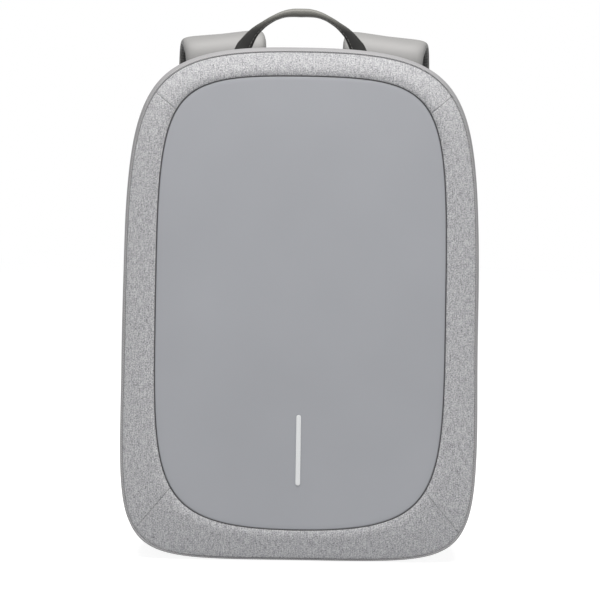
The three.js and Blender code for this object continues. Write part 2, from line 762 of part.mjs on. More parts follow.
function anchorTab() {
  const shape = new THREE.Shape([
    new THREE.Vector2(-TAB_FOOT_WIDTH / 2, 0),
    new THREE.Vector2(TAB_FOOT_WIDTH / 2, 0),
    new THREE.Vector2(TAB_WIDTH / 2, TAB_LENGTH),
    new THREE.Vector2(-TAB_WIDTH / 2, TAB_LENGTH),
  ]);
  const flat = { depth: TAB_THICKNESS, bevelEnabled: false };
  const geometry = new THREE.ExtrudeGeometry(shape, flat);
  geometry.rotateX(Math.PI / 2);
  geometry.translate(TAB_OUT, CLEARANCE + TAB_THICKNESS, TAB_BOTTOM);
  return geometry;
}

add("centre_panel", centrePanel(), LIGHT_CLOTH);
add("panel_piping", panelPiping(), DARK_CLOTH);
for (const { name, from, to } of BAND_PIECES) {
  add(name, bandPiece(from, to), MELANGE_CLOTH);
}
add("edge_piping", edgePiping(), DARK_CLOTH);
add("gusset", gusset(), WALL_CLOTH);

const hingeLeft = BOTTOM_STATION - HINGE_HALF_SPAN;
const hingeRight = BOTTOM_STATION + HINGE_HALF_SPAN;
add("zip_chain", backBand(hingeRight, hingeLeft + QUARTERS), ZIP_METAL);
add("bottom_hinge", backBand(hingeLeft, hingeRight), DARK_CLOTH);
add("zip_slider", zipSlider(), ZIP_METAL);
add("back_panel", backPanel(), DARK_CLOTH);
add("reflective_strip", reflectiveStrip(), BRIGHT_FILM);
add("handle", handle(), HANDLE_CLOTH);

const route = strapRoute();
const rightEnd = strapEnd(route);
const flip = (vector) => new THREE.Vector3(-vector.x, vector.y, vector.z);
const leftEnd = {
  point: flip(rightEnd.point),
  ahead: flip(rightEnd.ahead),
  outward: flip(rightEnd.outward),
  across: flip(rightEnd.across).negate(),
};

const sides = [
  { name: "right", end: rightEnd, turn: (geometry) => geometry },
  { name: "left", end: leftEnd, turn: mirrored },
];

for (const { name, end, turn } of sides) {
  add(`shoulder_strap_${name}`, turn(strapSolid(route, faceSection)), STRAP_CLOTH);
  add(`strap_lining_${name}`, turn(strapSolid(route, liningSection)), DARK_CLOTH);
  add(`webbing_${name}`, turn(webbing(rightEnd)), DARK_CLOTH);
  const lock = add(`buckle_${name}`, lockFrame(), BLACK_PLASTIC);
  place(lock, end.across, end.ahead, end.outward, end.point);
  const loop = add(`buckle_loop_${name}`, lockLoop(), DARK_CLOTH);
  place(loop, end.ahead, end.outward, end.across, end.point);
  const tab = add(`anchor_tab_${name}`, anchorTab(), HANDLE_CLOTH);
  tab.position.x = name === "left" ? -2 * TAB_OUT : 0;
}

// The bag is centred front to back, and stands on the floor.
bag.updateMatrixWorld(true);
bag.position.y = -new THREE.Box3().setFromObject(bag).getCenter(new THREE.Vector3()).y;

export default bag;
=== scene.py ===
"""A slim backpack with its zip hidden at the back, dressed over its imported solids.

Laid out as an add-on: main registers the classes and makes every piece in turn. Lengths are
metres, +Z is up, the front faces -Y and +X is on the right. Depths on the bag are counted from
the outer face of its back, so the front lies at negative depths.
"""

import math

import bmesh
import bpy
from bpy.props import FloatProperty, FloatVectorProperty, PointerProperty
from mathutils import Matrix, Vector, noise


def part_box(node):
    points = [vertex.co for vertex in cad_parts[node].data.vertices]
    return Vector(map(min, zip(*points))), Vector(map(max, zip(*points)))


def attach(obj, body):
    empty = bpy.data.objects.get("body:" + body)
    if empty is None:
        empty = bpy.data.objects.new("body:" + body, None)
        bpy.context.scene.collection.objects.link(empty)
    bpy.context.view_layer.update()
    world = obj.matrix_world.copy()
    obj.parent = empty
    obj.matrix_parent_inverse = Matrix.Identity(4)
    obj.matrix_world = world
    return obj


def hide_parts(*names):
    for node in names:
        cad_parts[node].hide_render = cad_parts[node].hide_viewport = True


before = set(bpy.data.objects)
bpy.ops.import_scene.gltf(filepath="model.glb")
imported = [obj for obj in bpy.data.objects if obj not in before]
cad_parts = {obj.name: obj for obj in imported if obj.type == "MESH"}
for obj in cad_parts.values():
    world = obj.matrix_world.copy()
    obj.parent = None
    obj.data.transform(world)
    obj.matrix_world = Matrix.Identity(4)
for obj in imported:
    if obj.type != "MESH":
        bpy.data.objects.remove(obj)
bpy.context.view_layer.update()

bl_info = {
    "name": "Hidden zip backpack",
    "version": (1, 0, 0),
    "blender": (4, 5, 0),
    "location": "3D View > Sidebar > Backpack",
    "description": "Dresses a packed backpack with cloth, padding, seams, zip and straps",
    "category": "Add Mesh",
}

BODY = "root"
WHITE = 0xFFFFFF

# How finely outlines and routes are measured, and how far ahead a route's direction is taken.
OUTLINE_STEPS = 600
ROUTE_STEPS = 400
AHEAD_REACH = 0.004
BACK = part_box("back_panel")[1].y

# The gap between neighbouring pieces.
GAP = 0.0003

# The front's edge seam, its panel seam, and the depths between them.
FACE_HALF = 0.143
FACE_TOP = 0.417
FACE_BOTTOM = 0.002
FACE_WIDEST = 0.208
DEPTH_TOP = 0.074
DEPTH_BOTTOM = 0.104
FRONT_WALL = 0.003
BAND_SIDE = 0.0243
BAND_TOP = 0.020
BAND_BOTTOM = 0.025
BAND_RISE = 0.010
BAND_ROUND = 1.45
BAND_RIM = 0.0002
PANEL_CROWN = 0.005
PANEL_WIDEST = 0.199
PANEL_SEAM_HALF = 0.0007
EDGE_SEAM_RADIUS = 0.0007

# How far the padded front swells past its solid at the sides and at the top, and how near to the
# middle of the panel seam the cloth on both sides comes.
FACE_SPREAD = 0.0012
FACE_LIFT = 0.0006
SEAM_COVER = 0.0004

# The wall round the bag, its rolled lip at the back, the zip and the padded back.
WALL_THICK = 0.0025
WALL_BULGE = 0.0047
WALL_BACK = 0.006
SOLE_DEPTH = 0.0012
LIP_INSET = 0.005
LIP_SET = 0.003
ZIP_WIDTH = 0.007
ZIP_THICK = 0.002
HINGE_SPAN = 0.28
BACK_PAD = 0.010

# The bar on the front, the handle and the shoulder straps.
BAR_HALF = 0.0019
BAR_BOTTOM = 0.0635
BAR_LENGTH = 0.0575
BAR_THICK = 0.0005
BAR_CROWN = 0.00005
HANDLE_HALF = 0.0495
HANDLE_RISE = 0.0317
HANDLE_SHIFT = -0.0032
HANDLE_DEPTH = -0.018
HANDLE_FOOT = 0.014
HANDLE_GRIP = 0.013
STRAP_HALF = 0.035
STRAP_FACE = 0.007
STRAP_LINING = 0.004
STRAP_ROOT = (0.056, 0.368)
STRAP_BEND_OUT = 0.070
STRAP_BEND_SKEW = 0.0035
STRAP_BEND_RADIUS = 0.017
STRAP_TOP = 0.4355
STRAP_END = (0.093, 0.152)
STRAP_END_DEPTH = 0.017
STRAP_RISE_TILT = math.radians(7)
STRAP_FALL_TILT = math.radians(-5)
STRAP_TILT_SPAN = (0.18, 0.4)

# What hangs on the straps.
WEB_HALF = 0.012
WEB_THICK = 0.0014
WEB_TAIL = 0.052
LOCK_BAR = 0.004
LOCK_SLOT = 0.005
LOCK_THICK = 0.004
LOCK_RAIL = 0.004
LOOP_LENGTH = 0.007
TAB_OUT = 0.104
TAB_BOTTOM = 0.036
TAB_LENGTH = 0.024
TAB_THICK = 0.003
TAB_HALF = 0.015
TAB_FOOT_HALF = 0.012

# How far an outline's quarters reach towards its corners, as shares of its half width and of its
# height above and below the widest line.
EDGE_CORNERS = (0.938, 0.901, 1.041, 1.131)
FRONT_CORNERS = (0.925, 0.89, 1.041, 1.131)
PANEL_CORNERS = (1.007, 0.935, 0.822, 0.997)

# The wall's section: shares of its depth and of its bulge.
WALL_PROFILE = [(0, 0), (0.14, 0.7), (0.4, 1), (0.76, 0.95), (1, 0.5)]

# Half the handle: shares of half the span and of the rise, then its height and its depth as
# shares of the foot's height and of the grip's depth.
HANDLE_ROUTE = [
    (1, 0, 1, 0.3),
    (0.95, 0.12, 0.9, 0.32),
    (0.81, 0.44, 0.6, 0.5),
    (0.63, 0.685, 0.4, 0.8),
    (0.45, 0.86, 0.36, 1),
    (0.29, 0.96, 0.42, 1),
    (0.14, 0.998, 0.5, 1),
    (0, 1, 0.52, 1),
]

# The falling part of a strap: shares of the drop, of the way in to the back and of the way out.
STRAP_FALL = [(0.16, 0.14, 0.02), (0.4, 0.46, 0.18), (0.7, 0.8, 0.56), (1, 1, 1)]

# The half width and thickness of a strap, as shares of the most, at shares of its length.
STRAP_SHAPE = [
    (0, 0.84, 1),
    (0.16, 1, 1),
    (0.4, 0.98, 1),
    (0.75, 0.84, 1),
    (0.93, 0.7, 0.9),
    (1, 0.5, 0.7),
]

# The specks of the melange cloth: how often they change across and up, to the metre, and how much
# they count. In order, they are yarns across, yarns up, long streaks up, and patches.
MELANGE_SPECKS = [
    ((680, 1450, 1), 0.34),
    ((1500, 740, 1), 0.36),
    ((900, 150, 1), 0.2),
    ((210, 240, 1), 0.1),
]

# A stitch: shares of its length from its middle, and of its half width. Then how much a twisted
# cord swells.
STITCH_SHAPE = [(-0.5, 0.45), (-0.3, 0.95), (0.3, 0.95), (0.5, 0.45)]
CORD_TWIST = 0.14

# From one yarn, mesh hole or strand of thread to the next.
MELANGE_YARN = 0.000503
TAPE_YARN = 0.000565
CLOTH_YARN = 0.00069
WEBBING_YARN = 0.00088
MESH_HOLE = 0.0024
STRAND = 0.00121

# The coats of the cloths: how wide their grain is, how deep it is pressed, and how rough they are.
PANEL_COAT = (0.0007, 0.00003, 0.55)
WALL_COAT = (0.0009, 0.00004, 0.6)
TAPE_COAT = (0.0006, 0.00003, 0.55)

# The angle that a wave texture turns through in each unit along its axis.
WAVE_TURN = 20


def linear(hex_colour):
    """Turns an sRGB hex colour into linear red, green, blue and alpha."""
    parts = [(hex_colour >> shift & 0xFF) / 255 for shift in (16, 8, 0)]
    return [p / 12.92 if p <= 0.04045 else ((p + 0.055) / 1.055) ** 2.4 for p in parts] + [1.0]


def colour_property(name, description, hex_colour):
    """A colour that a user can change, given as its sRGB hex value."""
    return FloatVectorProperty(
        name=name,
        description=description,
        subtype="COLOR",
        size=4,
        min=0,
        max=1,
        default=linear(hex_colour),
    )


def length_property(name, description, metres):
    """A length that a user can change."""
    return FloatProperty(
        name=name,
        description=description,
        unit="LENGTH",
        precision=5,
        min=0,
        default=metres,
    )


class BackpackSizes(bpy.types.PropertyGroup):
    """Sizes of the sewing and padding that dress the solids."""

    seam_roll: length_property("Seam roll", "How round the cloth turns into a seam", 0.0006)
    panel_dip: length_property("Panel dip", "How far the panel sinks into its seam", 0.0003)
    panel_reach: length_property("Panel reach", "How far from its seam the panel sinks", 0.003)
    band_dip: length_property("Band dip", "How far the band sinks into the panel's seam", 0.0028)
    band_reach: length_property("Band reach", "How far from that seam the band sinks", 0.0075)
    pucker_length: length_property("Pucker length", "From one pucker of a seam to the next", 0.00433)
    pucker_depth: length_property("Pucker depth", "How far the puckers stand out", 0.00012)
    stitch_length: length_property("Stitch length", "The length of one stitch", 0.0028)
    stitch_gap: length_property("Stitch gap", "The gap between two stitches", 0.0009)
    stitch_width: length_property("Stitch width", "The width of the sewing thread", 0.0006)
    tooth_pitch: length_property("Tooth pitch", "From one tooth of the zip to the next", 0.0016)
    channel_width: length_property("Channel width", "The width of the channel down the back", 0.034)
    channel_depth: length_property("Channel depth", "The depth of the channels in the back", 0.0065)


class BackpackColours(bpy.types.PropertyGroup):
    """The colours of the cloths and fittings."""

    coating: colour_property("Coated cloth", "The smooth panel on the front", 0x7F8186)
    melange_light: colour_property("Melange, light", "The light threads of the band", 0xBFC0C2)
    melange_dark: colour_property("Melange, dark", "The dark threads of the band", 0x46464E)
    seam: colour_property("Seam cord", "The cord round the front panel", 0x3E3E41)
    edge: colour_property("Edge cord", "The cord along the front's edge", 0x868688)
    wall: colour_property("Wall", "The cloth round the sides", 0x7D7D7F)
    zip_tape: colour_property("Zip tape", "The tapes of the zip, and the hinge", 0x3A3A3C)
    zip_coil: colour_property("Zip coil", "The teeth of the zip", 0x2A2A2C)
    enamel: colour_property("Slider", "The zip's slider and pull", 0x4A4A4C)
    mesh: colour_property("Air mesh", "The mesh on the back and inside the straps", 0x4A4A49)
    film: colour_property("Reflective film", "The bar on the front", 0xB8BABC)
    handle: colour_property("Handle, feet", "The handle's tape at its feet", 0x181817)
    # The grip's colour is partly the tape's own, partly painted highlight from the light above.
    grip: colour_property("Handle, grip and painted highlight", "The handle's tape at the grip, with painted highlight", 0x5C5C58)
    strap: colour_property("Strap", "The outside of the shoulder straps", 0x747474)
    webbing: colour_property("Webbing", "The webbing and its loops", 0x3B3B3D)
    plastic: colour_property("Plastic", "The ladder locks", 0x222223)
    thread: colour_property("Thread", "The sewing thread on the dark parts", 0x5C5C5A)


def lerp(start, end, share):
    """Goes from one number or vector to another."""
    return start + (end - start) * share


def ease(share):
    """Rises smoothly from 0 to 1."""
    share = min(1.0, max(0.0, share))
    return share * share * (3 - 2 * share)


def spread(start, end, count):
    """Steps evenly from one number to another, both ends included."""
    return [lerp(start, end, index / count) for index in range(count + 1)]


def rounding(distance, radius):
    """How deep a quarter round lies at a distance from the edge that it rounds."""
    if distance >= radius:
        return 0.0
    rest = 1 - max(0.0, distance) / radius
    return radius * (1 - math.sqrt(1 - rest * rest))


def read_table(table, share, column):
    """Reads a column of a table that is sorted by its first column."""
    for low, high in zip(table, table[1:]):
        if share <= high[0]:
            return lerp(low[column], high[column], (share - low[0]) / (high[0] - low[0]))
    return table[-1][column]


class Outline:
    """A closed outline seen from the front. Stations run clockwise from the top middle, 0 to 4."""

    def __init__(self, half, top, bottom, widest, corners):
        self.half, self.top, self.bottom, self.widest = half, top, bottom, widest
        self.corners = corners

    def inset(self, distance):
        """The outline drawn in by a distance."""
        return Outline(
            self.half - distance,
            self.top - distance,
            self.bottom + distance,
            self.widest,
            self.corners,
        )

    def point(self, station):
        """The x and z of a point of the outline."""
        turn = station % 4
        side = 1 if turn <= 2 else -1
        folded = turn if turn <= 2 else 4 - turn
        top_reach, top_rise, bottom_drop, bottom_reach = self.corners
        half, widest = self.half, self.widest
        if folded <= 1:
            share = folded
            rise = lerp(widest, self.top, top_rise)
            knots = [(0, self.top), (half * top_reach, self.top), (half, rise), (half, widest)]
        else:
            share = folded - 1
            drop = lerp(widest, self.bottom, bottom_drop)
            knots = [(half, widest), (half, drop), (half * bottom_reach, self.bottom), (0, self.bottom)]
        rest = 1 - share
        weights = (rest**3, 3 * rest**2 * share, 3 * rest * share**2, share**3)
        return (
            side * sum(weight * x for weight, (x, _) in zip(weights, knots)),
            sum(weight * z for weight, (_, z) in zip(weights, knots)),
        )

    def stations(self, step, start=0.0, end=4.0):
        """Stations from start to end that lie about a step apart on the outline, both included."""
        fine = spread(start, end, OUTLINE_STEPS)
        places = [Vector(self.point(station)) for station in fine]
        lengths = [0.0]
        for before, after in zip(places, places[1:]):
            lengths.append(lengths[-1] + (after - before).length)
        wanted = spread(0.0, lengths[-1], max(2, round(lengths[-1] / step)))
        return [read_table(list(zip(lengths, fine)), length, 1) for length in wanted]


EDGE = Outline(FACE_HALF, FACE_TOP, FACE_BOTTOM, FACE_WIDEST, EDGE_CORNERS)
FRONT = Outline(
    FACE_HALF + FACE_SPREAD,
    FACE_TOP + FACE_LIFT,
    FACE_BOTTOM,
    FACE_WIDEST,
    FRONT_CORNERS,
)
PANEL = Outline(
    FACE_HALF - BAND_SIDE,
    FACE_TOP - BAND_TOP,
    FACE_BOTTOM + BAND_BOTTOM,
    PANEL_WIDEST,
    PANEL_CORNERS,
)


def edge_depth(z):
    """The depth of the front's edge seam at a height."""
    return -lerp(DEPTH_BOTTOM, DEPTH_TOP, z / FACE_TOP)


def panel_depth(z, share):
    """The depth of the front panel: share is 0 in its middle and 1 on its seam."""
    return edge_depth(z) - BAND_RISE - PANEL_CROWN * (1 - share**2)


class Route:
    """A smooth line through knots, with its places given as shares of its length."""

    def __init__(self, knots):
        self.knots = [Vector(knot) for knot in knots]
        self.fine = [self.through(share) for share in spread(0.0, 1.0, ROUTE_STEPS)]
        self.lengths = [0.0]
        for before, after in zip(self.fine, self.fine[1:]):
            self.lengths.append(self.lengths[-1] + (after - before).length)

    def through(self, share):
        """The point at a share of the knots, by a centripetal spline."""
        last = len(self.knots) - 1
        index = min(last - 1, int(share * last))
        local = share * last - index
        one, two = self.knots[index], self.knots[index + 1]
        before = self.knots[index - 1] if index else one * 2 - two
        after = self.knots[index + 2] if index + 2 <= last else two * 2 - one
        first, middle, third = (
            max(1e-4, (b - a).length ** 0.5) for a, b in ((before, one), (one, two), (two, after))
        )
        leave = (one - before) / first - (two - before) / (first + middle) + (two - one) / middle
        arrive = (two - one) / middle - (after - one) / (middle + third) + (after - two) / third
        leave, arrive = leave * middle, arrive * middle
        cubic = one * 2 - two * 2 + leave + arrive
        square = two * 3 - one * 3 - leave * 2 - arrive
        return cubic * local**3 + square * local**2 + leave * local + one

    def at(self, share):
        """The point at a share of the length."""
        wanted = share * self.lengths[-1]
        for index, length in enumerate(self.lengths[1:]):
            if wanted <= length:
                start = self.lengths[index]
                return self.fine[index].lerp(self.fine[index + 1], (wanted - start) / (length - start))
        return self.fine[-1].copy()

    def ahead(self, share):
        """The direction of the line at a share of the length."""
        after, before = min(1.0, share + AHEAD_REACH), max(0.0, share - AHEAD_REACH)
        return (self.at(after) - self.at(before)).normalized()


class Skin:
    """Gathers rows of points into one mesh, whose UV map holds lengths in metres."""

    def __init__(self):
        self.points, self.faces, self.uvs, self.finishes = [], [], [], []

    def loft(self, rows, ring=False, tube=False, finish=0, flat=False):
        """Joins rows of as many points each.

        A ring joins its last row to its first, a tube joins each row's last point to its first,
        and an open tube gets flat ends. The UV map runs along and across the rows, or lies flat
        over x and z.
        """
        start, count = len(self.points), len(rows[0])
        self.points += [Vector(point) for row in rows for point in row]
        across, along = [0.0], [0.0]
        middle = rows[len(rows) // 2]
        for index in range(count):
            side = Vector(middle[(index + 1) % count]) - Vector(middle[index])
            across.append(across[-1] + side.length)
        centres = [sum((Vector(point) for point in row), Vector()) / count for row in rows]
        for index in range(len(rows)):
            along.append(along[-1] + (centres[(index + 1) % len(rows)] - centres[index]).length)
        for row in range(len(rows) if ring else len(rows) - 1):
            for step in range(count if tube else count - 1):
                corners = [(row, step), (row, step + 1), (row + 1, step + 1), (row + 1, step)]
                face = [start + i % len(rows) * count + j % count for i, j in corners]
                self.faces.append(face)
                if flat:
                    self.uvs += [(self.points[index].x, self.points[index].z) for index in face]
                else:
                    self.uvs += [(along[i], across[j]) for i, j in corners]
                self.finishes.append(finish)
        if tube and not ring:
            for row in (0, len(rows) - 1):
                self.faces.append([start + row * count + step for step in range(count)])
                self.uvs += [(along[row], across[step]) for step in range(count)]
                self.finishes.append(finish)

    def make(self, name, materials):
        """Makes the object, with its faces turned outwards and points that coincide joined."""
        mesh = bpy.data.meshes.new(name)
        mesh.from_pydata(self.points, [], self.faces)
        layer = mesh.uv_layers.new(name="UVMap")
        layer.uv.foreach_set("vector", [number for uv in self.uvs for number in uv])
        mesh.polygons.foreach_set("material_index", self.finishes)
        shell = bmesh.new()
        shell.from_mesh(mesh)
        bmesh.ops.remove_doubles(shell, verts=shell.verts, dist=1e-6)
        bmesh.ops.recalc_face_normals(shell, faces=shell.faces)
        shell.to_mesh(mesh)
        shell.free()
        return make_object(name, mesh, materials)


def make_object(name, mesh, materials):
    """Puts a mesh in the scene, smooth apart from its sharp edges, in its materials."""
    mesh.shade_smooth()
    mesh.set_sharp_from_angle(angle=math.radians(50))
    for material in materials:
        mesh.materials.append(material)
    thing = bpy.data.objects.new(name, mesh)
    bpy.context.scene.collection.objects.link(thing)
    return thing


def put_on(thing, slot, *nodes, fill=None):
    """Ties a piece to the frame and hides the solids of the nodes that it stands for. slot, the slot of its
    finish, is not used, and neither is fill, its fill.
    """
    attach(thing, BODY)
    if nodes:
        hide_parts(*nodes)
    return thing


def place(x, depth, z):
    """A point of the bag from its depth behind the outer face of the back."""
    return Vector((x, BACK + depth, z))


def plate(outline, middle, distances, shares, surface, step):
    """Rows of a padded plate, one for each station, from its hub over the rim and back.

    distances are the front's steps in from the rim and shares its steps to the hub, and surface
    gives the depths of front and back from x, z, the distance and the share.
    """
    rows = []
    core = outline.inset(distances[-1])
    for station in outline.stations(step)[:-1]:
        rim = Vector(outline.point(station))
        reach = (rim - middle).length
        flat = []
        for distance in distances:
            point = Vector(outline.inset(distance).point(station))
            flat.append((point, distance, 1 - distance / reach))
        for share in shares:
            point = middle.lerp(Vector(core.point(station)), share)
            distance = (1 - share) * reach + distances[-1]
            flat.append((point, distance, share * (1 - distances[-1] / reach)))
        depths = [surface(*spot) for spot in flat]
        front = [place(p.x, face, p.y) for (p, _, _), (face, _) in zip(flat, depths)]
        back = [place(p.x, behind, p.y) for (p, _, _), (_, behind) in zip(flat, depths)]
        rows.append(front[::-1] + back)
    return rows


def walk(points, spacing, closed=False):
    """Places about a spacing apart on a line of points: each is a point and the direction there."""
    line = points + points[:1] if closed else points
    lengths = [0.0]
    for before, after in zip(line, line[1:]):
        lengths.append(lengths[-1] + (after - before).length)
    count = max(1, round(lengths[-1] / spacing))
    found, index = [], 0
    for number in range(count):
        wanted = (number + 0.5) / count * lengths[-1]
        while lengths[index + 1] < wanted:
            index += 1
        share = (wanted - lengths[index]) / (lengths[index + 1] - lengths[index])
        ahead = (line[index + 1] - line[index]).normalized()
        found.append((line[index].lerp(line[index + 1], share), ahead))
    return found


def sew(skin, points, outward, sizes, closed=False, finish=0):
    """Adds a row of stitches along a line. outward gives the direction off the cloth at a point."""
    for point, ahead in walk(points, sizes.stitch_length + sizes.stitch_gap, closed):
        off = outward(point).normalized()
        side = ahead.cross(off).normalized()
        rows = []
        for along, size in STITCH_SHAPE:
            centre = point + ahead * (sizes.stitch_length * along)
            radius = sizes.stitch_width / 2 * size
            rows.append([
                centre + (side * math.cos(angle) + off * math.sin(angle)) * radius
                for angle in (math.tau * corner / 6 for corner in range(6))
            ])
        skin.loft(rows, tube=True, finish=finish)


def cord_ring(outline, depth, radius, twist, step):
    """Rows of a thin cord round an outline, its radius swelling a little with every twist."""
    rows = []
    stations = outline.stations(step)[:-1]
    for index, station in enumerate(stations):
        swell = 1 + CORD_TWIST * (index % 2) if twist else 1
        ring = []
        for angle in (math.tau * corner / 8 for corner in range(8)):
            x, z = outline.inset(radius * swell * math.cos(angle)).point(station)
            ring.append(place(x, depth(z) + radius * swell * math.sin(angle), z))
        rows.append(ring)
    return rows


def add_node(tree, kind, inputs=None, **settings):
    """Adds a node, sets its fields, and fills its inputs with values or with other outputs."""
    node = tree.nodes.new(kind)
    for field, value in settings.items():
        setattr(node, field, value)
    for socket, value in (inputs or {}).items():
        if isinstance(value, bpy.types.NodeSocket):
            tree.links.new(value, node.inputs[socket])
        else:
            node.inputs[socket].default_value = value
    return node


def new_material(name, **shader_inputs):
    """A material with one shader, whose constant inputs sit on its own sockets."""
    material = bpy.data.materials.new(name)
    material.use_nodes = True
    tree = material.node_tree
    tree.nodes.clear()
    inputs = {key.replace("_", " "): value for key, value in shader_inputs.items()}
    shader = add_node(tree, "ShaderNodeBsdfPrincipled", inputs)
    add_node(tree, "ShaderNodeOutputMaterial", {"Surface": shader.outputs["BSDF"]})
    return material, tree, shader


def shades(tree, amount, dark, light, low=0.3, high=0.7):
    """A colour that goes from a dark to a light shade as an amount goes from low to high."""
    ramp = add_node(tree, "ShaderNodeValToRGB", {"Fac": amount})
    for element, position, colour in zip(ramp.color_ramp.elements, (low, high), (dark, light)):
        element.position = position
        element.color = colour
    return ramp.outputs["Color"]


def darker(colour, share):
    """The colour with its light turned down to a share."""
    return [part * share for part in colour[:3]] + [1.0]


def threads(tree, spacing, along=1.0):
    """Heights of a plain weave of threads a spacing apart, from the UV map's metres.

    along is how many threads there are along the piece for each one across it.
    """
    where = add_node(tree, "ShaderNodeTexCoord").outputs["UV"]
    heights = []
    for direction, stretch in (("X", along), ("Y", 1.0)):
        inputs = {
            "Vector": where,
            "Scale": stretch * math.tau / (WAVE_TURN * spacing),
            "Distortion": 0.6,
            "Detail": 1.0,
        }
        wave = add_node(tree, "ShaderNodeTexWave", inputs, bands_direction=direction)
        heights.append(wave.outputs["Fac"])
    both = {0: heights[0], 1: heights[1]}
    return add_node(tree, "ShaderNodeMath", both, operation="MULTIPLY").outputs[0]


def bump(tree, shader, height, distance):
    """Raises a height on the shader's surface, by a distance in metres."""
    node = add_node(tree, "ShaderNodeBump", {"Height": height, "Distance": distance})
    tree.links.new(node.outputs["Normal"], shader.inputs["Normal"])


def coated_cloth(name, colour, coat):
    """Polyester with a calendered polyurethane coat: even, matt, with a fine pressed grain."""
    grain, depth, roughness = coat
    material, tree, shader = new_material(name, Roughness=roughness, IOR=1.49)
    where = add_node(tree, "ShaderNodeTexCoord").outputs["Object"]
    cloud = add_node(tree, "ShaderNodeTexNoise", {"Vector": where, "Scale": 9.0, "Detail": 2.0})
    tint = shades(tree, cloud.outputs["Fac"], darker(colour, 0.97), darker(colour, 1.03))
    tree.links.new(tint, shader.inputs["Base Color"])
    pores = add_node(tree, "ShaderNodeTexVoronoi", {"Vector": where, "Scale": 1 / grain})
    bump(tree, shader, pores.outputs["Distance"], depth)
    return material


def melange_weave(name, light, dark):
    """Polyester woven from light and dark yarns: matt, with specks that run with the yarns and
    gather here and there into streaks and patches.

    The real yarns are 0.5 mm apart. Their specks are drawn 0.7 mm wide, so that they show.
    """
    material, tree, shader = new_material(
        name, Roughness=0.85, IOR=1.5, Sheen_Weight=0.25, Sheen_Roughness=0.5
    )
    where = add_node(tree, "ShaderNodeTexCoord").outputs["UV"]
    mixed = 0.0
    for stretch, part in MELANGE_SPECKS:
        space = add_node(tree, "ShaderNodeMapping", {"Vector": where, "Scale": stretch})
        inputs = {"Vector": space.outputs[0], "Scale": 1.0, "Detail": 2.0, "Roughness": 0.6}
        speck = add_node(tree, "ShaderNodeTexNoise", inputs)
        inputs = {0: speck.outputs["Fac"], 1: part, 2: mixed}
        mixed = add_node(tree, "ShaderNodeMath", inputs, operation="MULTIPLY_ADD").outputs[0]
    tint = shades(tree, mixed, dark, light, 0.37, 0.63)
    tree.links.new(tint, shader.inputs["Base Color"])
    yarn = threads(tree, MELANGE_YARN)
    height = add_node(tree, "ShaderNodeMath", {0: yarn, 1: mixed}, operation="ADD").outputs[0]
    bump(tree, shader, height, 0.00025)
    return material


def plain_weave(name, colour, spacing, depth, along=1.0):
    """Dyed polyester, plainly woven: matt, with a raised grid of threads, and painted shade that darkens
    the gaps between them.
    """
    material, tree, shader = new_material(
        name, Roughness=0.8, IOR=1.5, Sheen_Weight=0.2, Sheen_Roughness=0.5
    )
    yarn = threads(tree, spacing, along)
    # Painted shade: the colour darkens where the threads dip into their gaps.
    tint = shades(tree, yarn, darker(colour, 0.6), colour)
    tree.links.new(tint, shader.inputs["Base Color"])
    bump(tree, shader, yarn, depth)
    return material


def spacer_mesh(name, colour):
    """Knitted spacer mesh: rows of round holes between matt ribs, with painted shade darkening the inside
    of each hole.

    Its holes are 2.4 mm apart.
    """
    material, tree, shader = new_material(
        name, Roughness=0.9, IOR=1.5, Sheen_Weight=0.2, Sheen_Roughness=0.6
    )
    where = add_node(tree, "ShaderNodeTexCoord").outputs["UV"]
    inputs = {"Vector": where, "Scale": 1 / MESH_HOLE, "Randomness": 0.12}
    holes = add_node(tree, "ShaderNodeTexVoronoi", inputs).outputs["Distance"]
    # Painted shade: darkest in the middle of each hole, where the bump sinks deepest.
    tint = shades(tree, holes, darker(colour, 0.25), colour)
    tree.links.new(tint, shader.inputs["Base Color"])
    bump(tree, shader, holes, 0.0008)
    return material


def smooth_fitting(name, colour, roughness, speck, depth, metallic=0.0):
    """A moulded, enamelled or coated fitting: even, with a faint texture left by its making."""
    material, tree, shader = new_material(name, Roughness=roughness, Metallic=metallic)
    where = add_node(tree, "ShaderNodeTexCoord").outputs["Object"]
    cloud = add_node(tree, "ShaderNodeTexNoise", {"Vector": where, "Scale": 1 / speck, "Detail": 3.0})
    tint = shades(tree, cloud.outputs["Fac"], darker(colour, 0.92), colour)
    tree.links.new(tint, shader.inputs["Base Color"])
    bump(tree, shader, cloud.outputs["Fac"], depth)
    return material


def handle_tape_with_painted_highlight(name, foot_colour, grip_and_highlight_colour, foot):
    """Satin coated tape: a soft gloss and a fine grain. Its colour grows paler with height towards the
    grip: partly a paler tape there, partly painted highlight where the light from above falls on the
    handle's top.
    """
    grain, depth, roughness = TAPE_COAT
    material, tree, shader = new_material(name, Roughness=roughness, IOR=1.49)
    where = add_node(tree, "ShaderNodeTexCoord").outputs["Object"]
    height = add_node(tree, "ShaderNodeSeparateXYZ", {"Vector": where}).outputs["Z"]
    # From halfway up, the handle's colour turns paler: painted highlight from the light above, mixed with
    # the grip's paler tape.
    inputs = {"Value": height, "From Min": foot, "From Max": foot + HANDLE_RISE}
    rise = add_node(tree, "ShaderNodeMapRange", inputs)
    tint = shades(tree, rise.outputs["Result"], foot_colour, grip_and_highlight_colour, 0.5, 1.0)
    tree.links.new(tint, shader.inputs["Base Color"])
    pores = add_node(tree, "ShaderNodeTexVoronoi", {"Vector": where, "Scale": 1 / grain})
    bump(tree, shader, pores.outputs["Distance"], depth)
    return material


